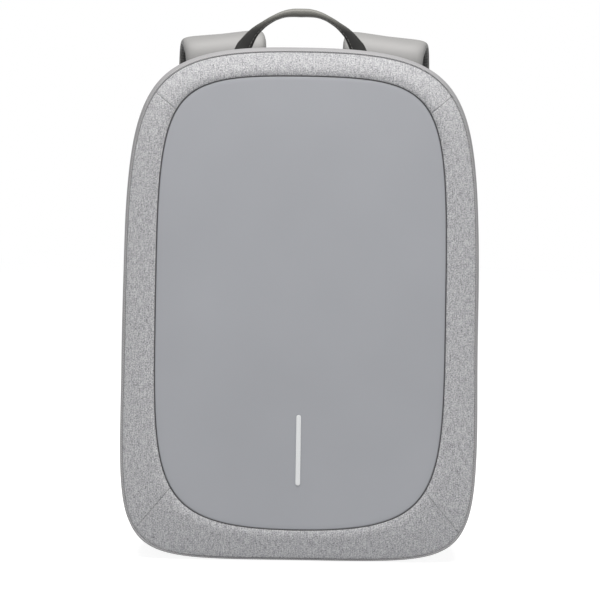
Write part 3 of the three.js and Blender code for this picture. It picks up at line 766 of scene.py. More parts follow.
def thread_material(name, colour):
    """Twisted polyester sewing thread: a slight gloss and slanting strands, with painted shade in the
    grooves between them.

    The real strands are 0.5 mm apart. They are drawn 1.2 mm apart, so that they show.
    """
    material, tree, shader = new_material(name, Roughness=0.6, IOR=1.5)
    where = add_node(tree, "ShaderNodeTexCoord").outputs["Object"]
    scale = math.tau / (WAVE_TURN / 2 * math.sqrt(3) * STRAND)
    inputs = {"Vector": where, "Scale": scale}
    wave = add_node(tree, "ShaderNodeTexWave", inputs, bands_direction="DIAGONAL")
    strands = wave.outputs["Fac"]
    # Painted shade: darker where the strands sink, lighter on their crests.
    tint = shades(tree, strands, darker(colour, 0.7), colour)
    tree.links.new(tint, shader.inputs["Base Color"])
    bump(tree, shader, strands, 0.0001)
    return material


# How the panel's mesh steps in from its seam, in metres, and then to its middle, in shares.
PANEL_RIM_STEPS = [0, 0.0002, 0.0005, 0.001, 0.0018, 0.003, 0.0045, 0.0065, 0.009]
PANEL_STEPS = [0.93, 0.84, 0.74, 0.62, 0.5, 0.38, 0.26, 0.14, 0.06, 0]
PLATE_STEP = 0.0035


class BACKPACK_OT_front_panel(bpy.types.Operator):
    """Make the smooth padded panel in the middle of the front"""

    bl_idname = "backpack.front_panel"
    bl_label = "Front panel"

    def execute(self, context):
        sizes, colours = context.scene.backpack_sizes, context.scene.backpack_colours

        def surface(point, distance, share):
            sunk = sizes.panel_dip * (1 - ease(distance / sizes.panel_reach))
            face = panel_depth(point.y, share) + sunk + rounding(distance, sizes.seam_roll)
            return face, panel_depth(point.y, share) + FRONT_WALL

        skin = Skin()
        rim = PANEL.inset(SEAM_COVER)
        middle = Vector((0, PANEL_WIDEST))
        rows = plate(rim, middle, PANEL_RIM_STEPS, PANEL_STEPS, surface, PLATE_STEP)
        skin.loft(rows, ring=True, flat=True)
        cloth = coated_cloth("polyurethane coated polyester", colours.coating, PANEL_COAT)
        put_on(skin.make("front_panel", [cloth]), "coated_cloth", "centre_panel", fill=0.6)
        return {"FINISHED"}


class BACKPACK_OT_panel_bar(bpy.types.Operator):
    """Make the pale reflective bar low on the front panel"""

    bl_idname = "backpack.panel_bar"
    bl_label = "Reflective bar"

    def execute(self, context):
        colours = context.scene.backpack_colours
        skin, rows = Skin(), []
        turns = spread(0.0, math.pi / 2, 6)
        ends = [(BAR_HALF * math.sin(turn), BAR_HALF * (1 - math.cos(turn))) for turn in turns]
        straight = spread(BAR_HALF * 1.5, BAR_LENGTH - BAR_HALF * 1.5, 16)
        outline = ends + [(BAR_HALF, low) for low in straight]
        outline += [(half, BAR_LENGTH - low) for half, low in reversed(ends)]
        for half, up in outline[1:-1]:
            z = BAR_BOTTOM + up
            share = (PANEL_WIDEST - z) / (PANEL_WIDEST - PANEL.bottom)
            base = panel_depth(z, share) - GAP / 3
            face = base - BAR_THICK
            edge = min(half * 0.3, BAR_THICK * 0.6)
            rows.append([
                place(-half, base, z),
                place(-half, face + edge * 0.5, z),
                place(-half + edge, face, z),
                place(0, face - BAR_CROWN, z),
                place(half - edge, face, z),
                place(half, face + edge * 0.5, z),
                place(half, base, z),
            ])
        skin.loft(rows, tube=True)
        film = smooth_fitting(
            "heat pressed reflective film", colours.film, roughness=0.4, speck=0.0006, depth=0.00002
        )
        put_on(skin.make("panel_bar", [film]), "reflective_film", "reflective_strip")
        return {"FINISHED"}


# The steps of the band's mesh from the edge to the panel's seam, in shares. Then its steps along
# the seam, the finer ones at its ends, and which of the finer ones are used.
BAND_STEPS = [
    *(0, 0.01, 0.03, 0.06, 0.12, 0.2, 0.3, 0.42, 0.54),
    *(0.66, 0.76, 0.84, 0.9, 0.94, 0.97, 0.985, 0.995, 1),
]
BAND_STEP = 0.0022
BAND_END_STEP = 0.0004
BAND_END_MARKS = (1, 2, 3, 5, 8)

# Half the gap at a mitre, how far from it the cloth sinks, and how far from the edge that starts.
MITRE_GAP = GAP / 6
MITRE_REACH = 0.002
MITRE_START = 0.004

# The puckers along the panel's seam: how far they reach, how quickly their rhythm wanders, and
# the mean length of the seam between two stations.
PUCKER_REACH = 0.006
PUCKER_WANDER = 60
PANEL_QUARTER = 0.2698


class BACKPACK_OT_front_band(bpy.types.Operator):
    """Make the four mitred pieces of melange cloth round the front panel"""

    bl_idname = "backpack.front_band"
    bl_label = "Melange band"

    def execute(self, context):
        sizes, colours = context.scene.backpack_sizes, context.scene.backpack_colours
        cloth = melange_weave("melange polyester weave", colours.melange_light, colours.melange_dark)
        corners = (("top", 3.5), ("right", 0.5), ("bottom", 1.5), ("left", 2.5))
        for index, (side, start) in enumerate(corners):
            skin = Skin()
            skin.loft(self.rows(sizes, start, index), tube=True, flat=True)
            piece = skin.make(f"front_band_{side}", [cloth])
            put_on(piece, "melange_cloth", f"band_{side}", fill=0.5)
        return {"FINISHED"}

    def rows(self, sizes, start, seed):
        """Sections of one piece, from one mitred corner to the next."""
        outer = FRONT.inset(EDGE_SEAM_RADIUS)
        inner = PANEL.inset(-SEAM_COVER)
        middle = PANEL.inset(-BAND_SIDE / 2)
        stations = middle.stations(BAND_STEP, start, start + 1)
        fine = middle.stations(BAND_END_STEP, start, start + 1)
        to_stations = (fine[1] - start) / BAND_END_STEP
        gap = MITRE_GAP * to_stations
        ends = [start + gap] + [fine[mark] for mark in BAND_END_MARKS]
        mirror = [2 * start + 1 - station for station in reversed(ends)]
        inside = [station for station in stations if ends[-1] + gap < station < mirror[0] - gap]
        rows = []
        for station in ends + inside + mirror:
            low, high = Vector(outer.point(station)), Vector(inner.point(station))
            width = (high - low).length
            near = min(abs(station - start), abs(start + 1 - station))
            from_end = near / to_stations - MITRE_GAP
            row = []
            for across in BAND_STEPS:
                point = low.lerp(high, across)
                from_edge, from_panel = across * width, (1 - across) * width
                rise = across * (BAND_ROUND - (BAND_ROUND - 1) * across)
                depth = edge_depth(point.y) - (BAND_RISE + sizes.band_dip) * rise
                depth += rounding(from_edge, sizes.seam_roll) + rounding(from_panel, sizes.seam_roll)
                depth += rounding(from_end, sizes.seam_roll * 0.7) * ease(from_edge / MITRE_REACH)
                depth += sizes.band_dip * max(0.0, 1 - from_panel / sizes.band_reach) ** 2
                mitre = (1 - ease(from_end / MITRE_REACH)) * ease(from_edge / MITRE_START)
                depth += sizes.seam_roll * 0.4 * mitre
                wander = noise.noise(Vector((point.x, point.y, seed)) * PUCKER_WANDER)
                phase = math.tau * (station * PANEL_QUARTER / sizes.pucker_length + wander)
                fade = math.exp(-from_panel / PUCKER_REACH)
                depth += sizes.pucker_depth * math.cos(phase) * fade
                row.append(place(point.x, depth, point.y))
            rim = sizes.seam_roll + BAND_RIM
            for across, behind in ((1, FRONT_WALL), (0.5, FRONT_WALL), (0, rim)):
                point = low.lerp(high, across)
                depth = edge_depth(point.y) - BAND_RISE * across
                row.append(place(point.x, depth + behind, point.y))
            rows.append(row)
        return rows


class BACKPACK_OT_seam_cords(bpy.types.Operator):
    """Make the dark cord in the panel's seam and the grey one in the edge seam"""

    bl_idname = "backpack.seam_cords"
    bl_label = "Seam cords"

    def execute(self, context):
        sizes, colours = context.scene.backpack_sizes, context.scene.backpack_colours
        skin = Skin()
        sunk = sizes.panel_dip + sizes.seam_roll * 0.4
        rows = cord_ring(
            PANEL,
            lambda z: panel_depth(z, 1) + sunk,
            radius=PANEL_SEAM_HALF * 0.6,
            twist=True,
            step=0.0008,
        )
        skin.loft(rows, ring=True, tube=True)
        dark = thread_material("twisted polyester cord, dark", colours.seam)
        put_on(skin.make("panel_seam_cord", [dark]), "seam_cord", "panel_piping")
        skin = Skin()
        rows = cord_ring(
            FRONT,
            lambda z: edge_depth(z) + GAP,
            radius=EDGE_SEAM_RADIUS + GAP / 2,
            twist=False,
            step=0.002,
        )
        skin.loft(rows, ring=True, tube=True)
        grey = thread_material("twisted polyester cord, grey", colours.edge)
        put_on(skin.make("edge_seam_cord", [grey]), "edge_cord", "edge_piping")
        return {"FINISHED"}


# How far apart the wall's sections lie, and how many steps each has from the front to the back.
WALL_STEP = 0.004
WALL_STEPS = 24

# The wall's soft creases: how deep they are, how quickly they change across, back and up, how much
# of the wall's depth they take to fade at its edges, and between which heights they come in.
CREASE_DEPTH = 0.0005
CREASE_RATE = (14, 30, 14)
CREASE_FADE = 0.2
CREASE_LOW = 0.01
CREASE_HIGH = 0.04

# The lip: shares of its way in, and of the quarter turn that brings it back. Then the inside of
# the wall: shares of its depth and of its bulge.
LIP_PROFILE = [(0.25, 0.2), (0.5, 0.42), (0.72, 0.72), (0.9, 0.92), (1, 1)]
WALL_INSIDE = [(1, 0.5), (0.7, 0.95), (0.4, 1), (0.14, 0.7), (0, 0)]


class BACKPACK_OT_side_wall(bpy.types.Operator):
    """Make the wall round the bag, with its rolled and stitched lip at the back"""

    bl_idname = "backpack.side_wall"
    bl_label = "Side wall"

    def outside(self, station, out, drawn_in=0.0):
        """A point of the wall where it has a share of its bulge, flattened where it stands."""
        line = Outline(
            lerp(FRONT.half, EDGE.half + WALL_BULGE, out),
            lerp(FRONT.top, EDGE.top + WALL_BULGE, out),
            EDGE.bottom * (1 - out),
            EDGE.widest,
            FRONT.corners,
        )
        x, z = line.point(station)
        lowered = z * ease(z / (2 * SOLE_DEPTH)) - z
        if drawn_in:
            x, z = line.inset(drawn_in).point(station)
        return x, z + lowered

    def execute(self, context):
        sizes, colours = context.scene.backpack_sizes, context.scene.backpack_colours
        profile = Route([(back, out, 0) for back, out in WALL_PROFILE])
        marks = [profile.through(share) for share in spread(0.0, 1.0, WALL_STEPS)]
        rows, lip_line = [], []
        for station in EDGE.stations(WALL_STEP)[:-1]:
            depth = edge_depth(FRONT.point(station)[1])
            front = depth + EDGE_SEAM_RADIUS + GAP
            row = []
            for mark in marks:
                x, z = self.outside(station, mark.y)
                y = lerp(front, -WALL_BACK, mark.x)
                crease = noise.noise(Vector((x, y, z)) * Vector(CREASE_RATE)) * CREASE_DEPTH
                crease *= ease(mark.x / CREASE_FADE) * ease((1 - mark.x) / CREASE_FADE)
                crease *= ease((z - CREASE_LOW) / (CREASE_HIGH - CREASE_LOW))
                away = Vector((x, z - EDGE.widest)).normalized()
                row.append(place(x + away.x * crease, y, z + away.y * crease))
            row[0].y += sizes.seam_roll * 0.5
            for share, back in LIP_PROFILE:
                x, z = self.outside(station, 0.5 * (1 - share))
                lip_x, lip_z = EDGE.inset(LIP_INSET * share).point(station)
                x, z = lerp(x, lip_x, share), lerp(z, lip_z, share)
                row.append(place(x, lerp(-WALL_BACK, -LIP_SET, math.sin(back * math.pi / 2)), z))
            lip_line.append(row[-2].copy())
            row.append(row[-1] + Vector((0, -WALL_THICK, 0)))
            inner = depth + sizes.seam_roll + GAP + WALL_THICK / 2
            for back, out in WALL_INSIDE:
                x, z = self.outside(station, out, WALL_THICK)
                row.append(place(x, lerp(inner, -WALL_BACK - WALL_THICK, back), z))
            rows.append(row)
        skin = Skin()
        skin.loft(rows, ring=True, tube=True)
        cloth = coated_cloth("coated polyester, matt", colours.wall, WALL_COAT)
        put_on(skin.make("side_wall", [cloth]), "gusset_cloth", "gusset")
        stitches = Skin()
        sew(stitches, lip_line, lambda point: Vector((0, 1, 0)), sizes, closed=True)
        thread = thread_material("polyester thread, grey", colours.edge)
        put_on(stitches.make("lip_stitches", [thread]), "edge_cord")
        return {"FINISHED"}


# A tooth of the zip: how far out and how high each of its sections lies, and shares of its radius.
TOOTH_SHAPE = [(-0.0004, 0.0, 0.7), (0.0003, 0.0002, 1), (0.0012, 0.0002, 1), (0.0019, -0.0001, 0.8)]
TOOTH_RADIUS = 0.00042

# How far the zip stops short of its hinge, as a share of a station, how thick its tapes are and
# where its teeth lie, as shares of its thickness, and where each tape ends, as shares of its width.
ZIP_END = 0.002
TAPE_SHARE = 0.45
TEETH_SHARE = 0.42
TAPE_EDGES = ((0, 0.46), (0.54, 1))
TAPE_CROWN = 0.0001
HINGE_CROWN = 0.0008

# How far apart the sections of the zip and of its hinge lie.
ZIP_STEP = 0.004
HINGE_STEP = 0.003


class BACKPACK_OT_hidden_zip(bpy.types.Operator):
    """Make the coil zip round the back, and the cloth hinge under it"""

    bl_idname = "backpack.hidden_zip"
    bl_label = "Hidden zip"

    def execute(self, context):
        sizes, colours = context.scene.backpack_sizes, context.scene.backpack_colours
        outer = EDGE.inset(LIP_INSET + GAP)
        centre = EDGE.inset(LIP_INSET + GAP + ZIP_WIDTH / 2)
        start, end = 2 + HINGE_SPAN + ZIP_END, 6 - HINGE_SPAN - ZIP_END
        stations = centre.stations(ZIP_STEP, start, end)
        back = -LIP_SET - ZIP_THICK
        face = back + ZIP_THICK * TAPE_SHARE
        skin = Skin()
        for edges in TAPE_EDGES:
            lines = [outer.inset(ZIP_WIDTH * edge) for edge in edges]
            rows = []
            for station in stations:
                low, high = (Vector(line.point(station)) for line in lines)
                rows.append([
                    place(low.x, face, low.y),
                    place(lerp(low.x, high.x, 0.5), face + TAPE_CROWN, lerp(low.y, high.y, 0.5)),
                    place(high.x, face, high.y),
                    place(high.x, back, high.y),
                    place(low.x, back, low.y),
                ])
            skin.loft(rows, tube=True)
        places = [centre.point(station) for station in stations]
        line = [place(x, -LIP_SET - ZIP_THICK * TEETH_SHARE, z) for x, z in places]
        up = Vector((0, 1, 0))
        for index, (point, ahead) in enumerate(walk(line, sizes.tooth_pitch)):
            side = ahead.cross(up).normalized() * (1 if index % 2 else -1)
            rows = []
            for out, lift, size in TOOTH_SHAPE:
                middle = point + side * out + up * lift
                radius = TOOTH_RADIUS * size
                rows.append([
                    middle + (ahead * math.cos(turn) + up * math.sin(turn)) * radius
                    for turn in (math.tau * corner / 6 for corner in range(6))
                ])
            skin.loft(rows, tube=True, finish=1)
        cloth = plain_weave("knitted polyester tape", colours.zip_tape, TAPE_YARN, 0.0002)
        coil = smooth_fitting(
            "extruded nylon coil", colours.zip_coil, roughness=0.35, speck=0.001, depth=0.00002
        )
        put_on(skin.make("hidden_zip", [cloth, coil]), "zip_tape", "zip_chain")

        skin, rows = Skin(), []
        for station in centre.stations(HINGE_STEP, 2 - HINGE_SPAN, 2 + HINGE_SPAN):
            row = []
            for share in spread(0.0, 1.0, 8):
                x, z = outer.inset(ZIP_WIDTH * share).point(station)
                row.append(place(x, -LIP_SET - HINGE_CROWN * math.sin(share * math.pi), z))
            for share in (1, 0):
                x, z = outer.inset(ZIP_WIDTH * share).point(station)
                row.append(place(x, back, z))
            rows.append(row)
        skin.loft(rows, tube=True)
        hinge = plain_weave("plain woven polyester", colours.zip_tape, CLOTH_YARN, 0.0002)
        put_on(skin.make("hinge_cloth", [hinge]), "hinge_cloth", "bottom_hinge")
        return {"FINISHED"}


def flat_part(name, outlines, thickness, bevel):
    """A flat part with rounded edges and holes, cut from closed outlines of x and y."""
    curve = bpy.data.curves.new(name, "CURVE")
    curve.dimensions = "2D"
    curve.fill_mode = "BOTH"
    curve.extrude = thickness / 2 - bevel
    curve.bevel_depth = bevel
    curve.bevel_resolution = 3
    curve.offset = -bevel
    for outline in outlines:
        spline = curve.splines.new("POLY")
        spline.points.add(len(outline) - 1)
        for point, (x, y) in zip(spline.points, outline):
            point.co = (x, y, 0, 1)
        spline.use_cyclic_u = True
    maker = bpy.data.objects.new(name, curve)
    bpy.context.scene.collection.objects.link(maker)
    bpy.context.view_layer.update()
    made = maker.evaluated_get(bpy.context.evaluated_depsgraph_get())
    mesh = bpy.data.meshes.new_from_object(made)
    bpy.data.objects.remove(maker)
    bpy.data.curves.remove(curve)
    shell = bmesh.new()
    shell.from_mesh(mesh)
    bmesh.ops.remove_doubles(shell, verts=shell.verts, dist=1e-6)
    bmesh.ops.recalc_face_normals(shell, faces=shell.faces)
    shell.to_mesh(mesh)
    shell.free()
    return mesh


def rounded_outline(corners, radius, steps=4):
    """A closed outline with each of its corners rounded."""
    outline = []
    for index, corner in enumerate(corners):
        here = Vector(corner)
        before = (Vector(corners[index - 1]) - here).normalized() * radius
        after = (Vector(corners[(index + 1) % len(corners)]) - here).normalized() * radius
        for share in spread(0.0, 1.0, steps):
            outline.append(tuple(here + before * (1 - share) ** 2 + after * share**2))
    return outline


# The slider's length, and the outlines of its pull, the pull's hole and its bridge, counted from
# the slider's lower end.
SLIDER_LENGTH = 0.011
PULL = [(-0.002, -0.016), (0.002, -0.016), (0.0015, 0.004), (-0.0015, 0.004)]
PULL_HOLE = [(-0.0009, -0.0142), (0.0009, -0.0142), (0.0009, -0.0105), (-0.0009, -0.0105)]
BRIDGE = [(-0.0009, 0.0015), (0.0009, 0.0015), (0.0009, 0.0095), (-0.0009, 0.0095)]


class BACKPACK_OT_zip_slider(bpy.types.Operator):
    """Make the zip's slider and its pull"""

    bl_idname = "backpack.zip_slider"
    bl_label = "Zip slider"

    def execute(self, context):
        colours = context.scene.backpack_colours
        low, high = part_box("zip_slider")
        middle = (low.x + high.x) / 2
        width = high.x - low.x
        length = SLIDER_LENGTH
        body = [(-width / 2, 0), (width / 2, 0), (width / 3, length), (-width / 3, length)]
        pull = [rounded_outline(PULL, 0.0009), rounded_outline(PULL_HOLE, 0.0006)]
        # Each part's outlines, its thickness, its bevel and how far back its middle lies.
        parts = (
            ([rounded_outline(body, 0.0012)], 0.0011, 0.0003, 0.00055),
            ([rounded_outline(BRIDGE, 0.0004)], 0.0012, 0.0003, 0.0015),
            (pull, 0.0008, 0.0002, 0.0025),
        )
        turned = Matrix.Rotation(math.radians(90), 4, "X")
        whole = bmesh.new()
        for outlines, thickness, bevel, back in parts:
            mesh = flat_part("slider_part", outlines, thickness, bevel)
            here = (middle, low.y + back, high.z - length)
            mesh.transform(Matrix.Translation(here) @ turned)
            whole.from_mesh(mesh)
            bpy.data.meshes.remove(mesh)
        mesh = bpy.data.meshes.new("zip_slider_and_pull")
        whole.to_mesh(mesh)
        whole.free()
        enamel = smooth_fitting(
            "enamelled zinc",
            colours.enamel,
            roughness=0.35,
            speck=0.0009,
            depth=0.00001,
            metallic=0.8,
        )
        put_on(make_object("zip_slider_and_pull", mesh, [enamel]), "slider_metal", "zip_slider")
        return {"FINISHED"}


# How the back's mesh steps in from its rim, in metres, and then to its middle, in shares.
BACK_RIM_STEPS = [
    *(0, 0.0003, 0.0008, 0.0016, 0.0026, 0.004, 0.006),
    *(0.008, 0.0095, 0.011, 0.0125, 0.014, 0.017, 0.021),
]
BACK_STEPS = [1 - index / 44 for index in range(1, 45)]

# The channels across the back: the height of each in the middle, how much it rises to the sides,
# how wide each of its slopes is and its share of the full depth. Then the groove inside the rim:
# how far in it lies, how wide its slopes are and its share of the depth. Last, the rim's rounding
# outside and inside.
CHANNEL_HEIGHTS = (0.115, 0.205, 0.295)
CHANNEL_RISE = 0.15
CHANNEL_SLOPE = 0.012
CHANNEL_SHARE = 0.8
GROOVE_IN = 0.011
GROOVE_SLOPE = 0.004
GROOVE_SHARE = 0.25
BACK_ROUND = (0.004, 0.0025)


class BACKPACK_OT_back_pad(bpy.types.Operator):
    """Make the padded back, with its channels for air"""

    bl_idname = "backpack.back_pad"
    bl_label = "Padded back"

    def execute(self, context):
        sizes, colours = context.scene.backpack_sizes, context.scene.backpack_colours
        rim = EDGE.inset(LIP_INSET + ZIP_WIDTH + 2 * GAP)
        outside, inside = BACK_ROUND

        def surface(point, distance, share):
            spine = 1 - ease(abs(point.x) / (sizes.channel_width / 2) - 0.3)
            rise = abs(point.x) * CHANNEL_RISE
            level = min(abs(point.y - height - rise) for height in CHANNEL_HEIGHTS)
            across = (1 - ease(level / CHANNEL_SLOPE)) * CHANNEL_SHARE
            across *= ease((distance - CHANNEL_SLOPE) / CHANNEL_SLOPE)
            down = spine * ease((distance - GROOVE_IN) / CHANNEL_SLOPE)
            groove = (1 - ease(abs(distance - GROOVE_IN) / GROOVE_SLOPE)) * GROOVE_SHARE
            sunk = sizes.channel_depth * max(down, across, groove)
            return -sunk - rounding(distance, outside), -BACK_PAD + rounding(distance, inside)

        skin = Skin()
        middle = Vector((0, EDGE.widest))
        rows = plate(rim, middle, BACK_RIM_STEPS, BACK_STEPS, surface, PLATE_STEP)
        skin.loft(rows, ring=True, flat=True)
        mesh = spacer_mesh("knitted spacer mesh", colours.mesh)
        put_on(skin.make("padded_back", [mesh]), "air_mesh", "back_panel", fill=0.7)
        return {"FINISHED"}


def wall_top(x):
    """The height of the wall's top at a distance from the middle."""
    near, far = 0.0, 0.5
    line = Outline(EDGE.half + WALL_BULGE, EDGE.top + WALL_BULGE, 0, EDGE.widest, FRONT.corners)
    for _ in range(30):
        middle = (near + far) / 2
        if line.point(middle)[0] < abs(x):
            near = middle
        else:
            far = middle
    return line.point(near)[1]


# The handle's section: how square it is, from 1 for round down to 0, its share of the grip's
# depth, and its points. Then the sections between two knots, and where its stitches lie: between
# which knots, and how far in and forward, as shares of its half width and depth.
HANDLE_SQUARE = 0.75
HANDLE_FILL = 0.96
HANDLE_POINTS = 24
HANDLE_SECTIONS = 8
HANDLE_STITCHES = (0.5, 4.2)
HANDLE_STITCH_IN = 0.62
HANDLE_STITCH_OUT = 0.9


def squared(value, power):
    """Draws a sine or cosine out towards 1, and so a round section towards a square."""
    return math.copysign(abs(value) ** power, value)


class BACKPACK_OT_carry_handle(bpy.types.Operator):
    """Make the carrying handle, folded round a core and stitched along its legs"""

    bl_idname = "backpack.carry_handle"
    bl_label = "Carrying handle"

    def execute(self, context):
        sizes, colours = context.scene.backpack_sizes, context.scene.backpack_colours
        foot = wall_top(HANDLE_HALF) + GAP
        table = HANDLE_ROUTE + [(-side, *others) for side, *others in HANDLE_ROUTE[-2::-1]]
        route = Route([
            (HANDLE_SHIFT - side * HANDLE_HALF, BACK + HANDLE_DEPTH, foot + up * HANDLE_RISE)
            for side, up, _, _ in table
        ])
        last = len(table) - 1
        rows, folds = [], []
        for knot in spread(0, last, last * HANDLE_SECTIONS):
            share = knot / last
            centre = route.through(share)
            after, before = min(1.0, share + 1e-3), max(0.0, share - 1e-3)
            ahead = (route.through(after) - route.through(before)).normalized()
            low, high = table[int(knot)], table[min(last, int(knot) + 1)]
            tall = lerp(low[2], high[2], knot % 1) * HANDLE_FOOT / 2
            deep = lerp(low[3], high[3], knot % 1) * HANDLE_GRIP / 2
            level = Vector((-math.copysign(1, ahead.z), 0, 0))
            square = Vector((-ahead.z, 0, ahead.x))
            out = level.lerp(square, ease(min(knot, last - knot) - 0.2)).normalized()
            row = []
            for corner in range(HANDLE_POINTS):
                turn = math.tau * corner / HANDLE_POINTS
                point = centre + out * (tall * squared(math.cos(turn), HANDLE_SQUARE))
                point.y += deep * squared(math.sin(turn), HANDLE_SQUARE) * HANDLE_FILL
                if knot in (0, last):
                    point.z = wall_top(point.x) + GAP
                row.append(point)
            rows.append(row)
            fold = centre - out * (tall * HANDLE_STITCH_IN)
            fold.y -= deep * HANDLE_STITCH_OUT
            folds.append((min(knot, last - knot), knot < last / 2, fold))
        skin = Skin()
        skin.loft(rows, tube=True)
        # The tape turns paler towards the grip: partly its own colour, partly painted highlight.
        cloth = handle_tape_with_painted_highlight("satin coated tape", colours.handle, colours.grip, foot)
        put_on(skin.make("carry_handle", [cloth]), "handle_cloth", "handle")
        stitches = Skin()
        first_knot, last_knot = HANDLE_STITCHES
        for leg in (True, False):
            line = [
                fold
                for from_foot, on_first, fold in folds
                if on_first == leg and first_knot < from_foot < last_knot
            ]
            sew(stitches, line, lambda point: Vector((0, -1, 0)), sizes)
        thread = thread_material("polyester thread, mid grey", colours.thread)
        put_on(stitches.make("handle_stitches", [thread]), "seam_cord")
        return {"FINISHED"}


def strap_route():
    """The line between the padded outside and the mesh inside of the right hand strap."""
    start = BACK + GAP * 1.5 + STRAP_FACE
    bend_height = STRAP_TOP - STRAP_FACE - STRAP_BEND_RADIUS
    root_x, root_z = STRAP_ROOT
    end_x, end_z = STRAP_END
    half_way = lerp(root_x, STRAP_BEND_OUT - STRAP_BEND_SKEW, 0.5)
    knots = [(root_x, start, root_z), (half_way, start, lerp(root_z, bend_height, 0.5))]
    for turn in spread(0.0, math.pi, 4):
        knots.append((
            STRAP_BEND_OUT - STRAP_BEND_SKEW * math.cos(turn),
            start + STRAP_BEND_RADIUS * (1 - math.cos(turn)),
            bend_height + STRAP_BEND_RADIUS * math.sin(turn),
        ))
    for drop, near, out in STRAP_FALL:
        knots.append((
            lerp(STRAP_BEND_OUT + STRAP_BEND_SKEW, end_x, out),
            lerp(start + 2 * STRAP_BEND_RADIUS, BACK + STRAP_END_DEPTH, near),
            lerp(bend_height, end_z, drop),
        ))
    return Route(knots)


def strap_directions(route, share):
    """Ahead, across and outwards on the right hand strap at a share of its length."""
    ahead = route.ahead(share)
    low, high = STRAP_TILT_SPAN
    tilt = lerp(STRAP_RISE_TILT, STRAP_FALL_TILT, ease((share - low) / (high - low)))
    across = Vector((math.cos(tilt), 0, -math.sin(tilt)))
    across = (across - ahead * across.dot(ahead)).normalized()
    return ahead, across, across.cross(ahead)


def mirrored(rows, side):
    """The rows on their own side of the bag: 1 is the right and -1 the left."""
    return [[Vector((point.x * side, point.y, point.z)) for point in row] for row in rows]


SIDES = (("right", 1), ("left", -1))


# A section of the strap's padded outside and of its mesh lining: how many steps it has, its half
# width as a share, and how square it is across and outwards.
PADDED_SECTION = (18, 1, 0.32, 0.55)
LINING_SECTION = (16, 0.97, 0.3, 0.6)

# How many steps a strap has along its length, and how it thins towards its ends: by what share,
# over what length, and how long it is taken to be for that.
STRAP_STEPS = 130
STRAP_THIN = 0.35
STRAP_THIN_OVER = 0.003
STRAP_ABOUT = 0.4

# The straps' stitches: how far from the middle the rows along the edges run, how far the rows
# across reach, and their places, as shares of the half width and of the length. Then how far all
# are sunk into the mesh.
EDGE_STITCHES = 0.8
ROOT_REACH = 0.66
ROOT_STITCHES = (0.012, 0.024)
STITCH_SUNK = 0.0001


class BACKPACK_OT_shoulder_straps(bpy.types.Operator):
    """Make the padded shoulder straps, with their mesh linings and edge stitches"""

    bl_idname = "backpack.shoulder_straps"
    bl_label = "Shoulder straps"

    def section(self, share, outside):
        """A strap's section: shares of its half width, and lengths outwards from its route."""
        thick = read_table(STRAP_SHAPE, share, 2)
        if outside:
            steps, wide, side_power, face_power = PADDED_SECTION
            near, height = GAP / 2, STRAP_FACE * thick
        else:
            steps, wide, side_power, face_power = LINING_SECTION
            near, height = -GAP / 2, -STRAP_LINING * thick
        section = []
        for turn in spread(0.0, math.pi, steps):
            out = near + height * squared(math.sin(turn), face_power)
            section.append((-wide * squared(math.cos(turn), side_power), out))
        return section + [(0.5, near), (-0.5, near)]

    def execute(self, context):
        sizes, colours = context.scene.backpack_sizes, context.scene.backpack_colours
        route = strap_route()
        shares = spread(0.0, 1.0, STRAP_STEPS)
        frames = [(route.at(share), *strap_directions(route, share)) for share in shares]
        cloth = coated_cloth("polyurethane coated strap cloth", colours.strap, PANEL_COAT)
        lining = spacer_mesh("spacer mesh of the straps", colours.mesh)
        thread = thread_material("polyester thread of the straps", colours.edge)
        for side_name, side in SIDES:
            for outside, part, material, slot in (
                (True, "shoulder_strap", cloth, "strap_cloth"),
                (False, "strap_lining", lining, "strap_mesh"),
            ):
                rows = []
                for share, (centre, _, across, outward) in zip(shares, frames):
                    half = STRAP_HALF * read_table(STRAP_SHAPE, share, 1)
                    from_end = min(share, 1 - share) * STRAP_ABOUT
                    thinned = rounding(from_end, STRAP_THIN_OVER) / STRAP_THIN_OVER
                    end = 1 - STRAP_THIN * thinned
                    rows.append([
                        centre + across * (half * wide) + outward * (out * (end if abs(out) > GAP else 1))
                        for wide, out in self.section(share, outside)
                    ])
                skin = Skin()
                skin.loft(mirrored(rows, side), tube=True)
                name = "padded_strap" if outside else "strap_mesh"
                piece = skin.make(f"{name}_{side_name}", [material])
                put_on(piece, slot, f"{part}_{side_name}", fill=0.6)
            stitches = Skin()
            for edge in (-1, 1):
                line = []
                for share, (centre, _, across, outward) in zip(shares[2:-2], frames[2:-2]):
                    half = STRAP_HALF * read_table(STRAP_SHAPE, share, 1)
                    thick = STRAP_LINING * read_table(STRAP_SHAPE, share, 2)
                    level = centre - outward * (thick + GAP / 2 - STITCH_SUNK)
                    line.append(level + across * (half * EDGE_STITCHES * edge))
                line = mirrored([line], side)[0]
                sew(stitches, line, lambda point: Vector((0, -1, 0)), sizes)
            for share in ROOT_STITCHES:
                centre, (_, across, outward) = route.at(share), strap_directions(route, share)
                reach = across * (STRAP_HALF * ROOT_REACH)
                level = centre - outward * (STRAP_LINING + GAP / 2 - STITCH_SUNK)
                line = mirrored([[level - reach, level + reach]], side)[0]
                sew(stitches, line, lambda point: Vector((0, 1, 0)), sizes)
            put_on(stitches.make(f"strap_stitches_{side_name}", [thread]), "seam_cord")
        return {"FINISHED"}


# One side of a section of webbing, with a groove inside each woven edge: shares of its half width
# and of its half thickness.
WEBBING_SECTION = [
    *((-1, 0), (-0.985, 0.7), (-0.93, 1), (-0.88, 0.8), (-0.8, 1)),
    *((0, 1), (0.8, 1), (0.88, 0.8), (0.93, 1), (0.985, 0.7)),
]

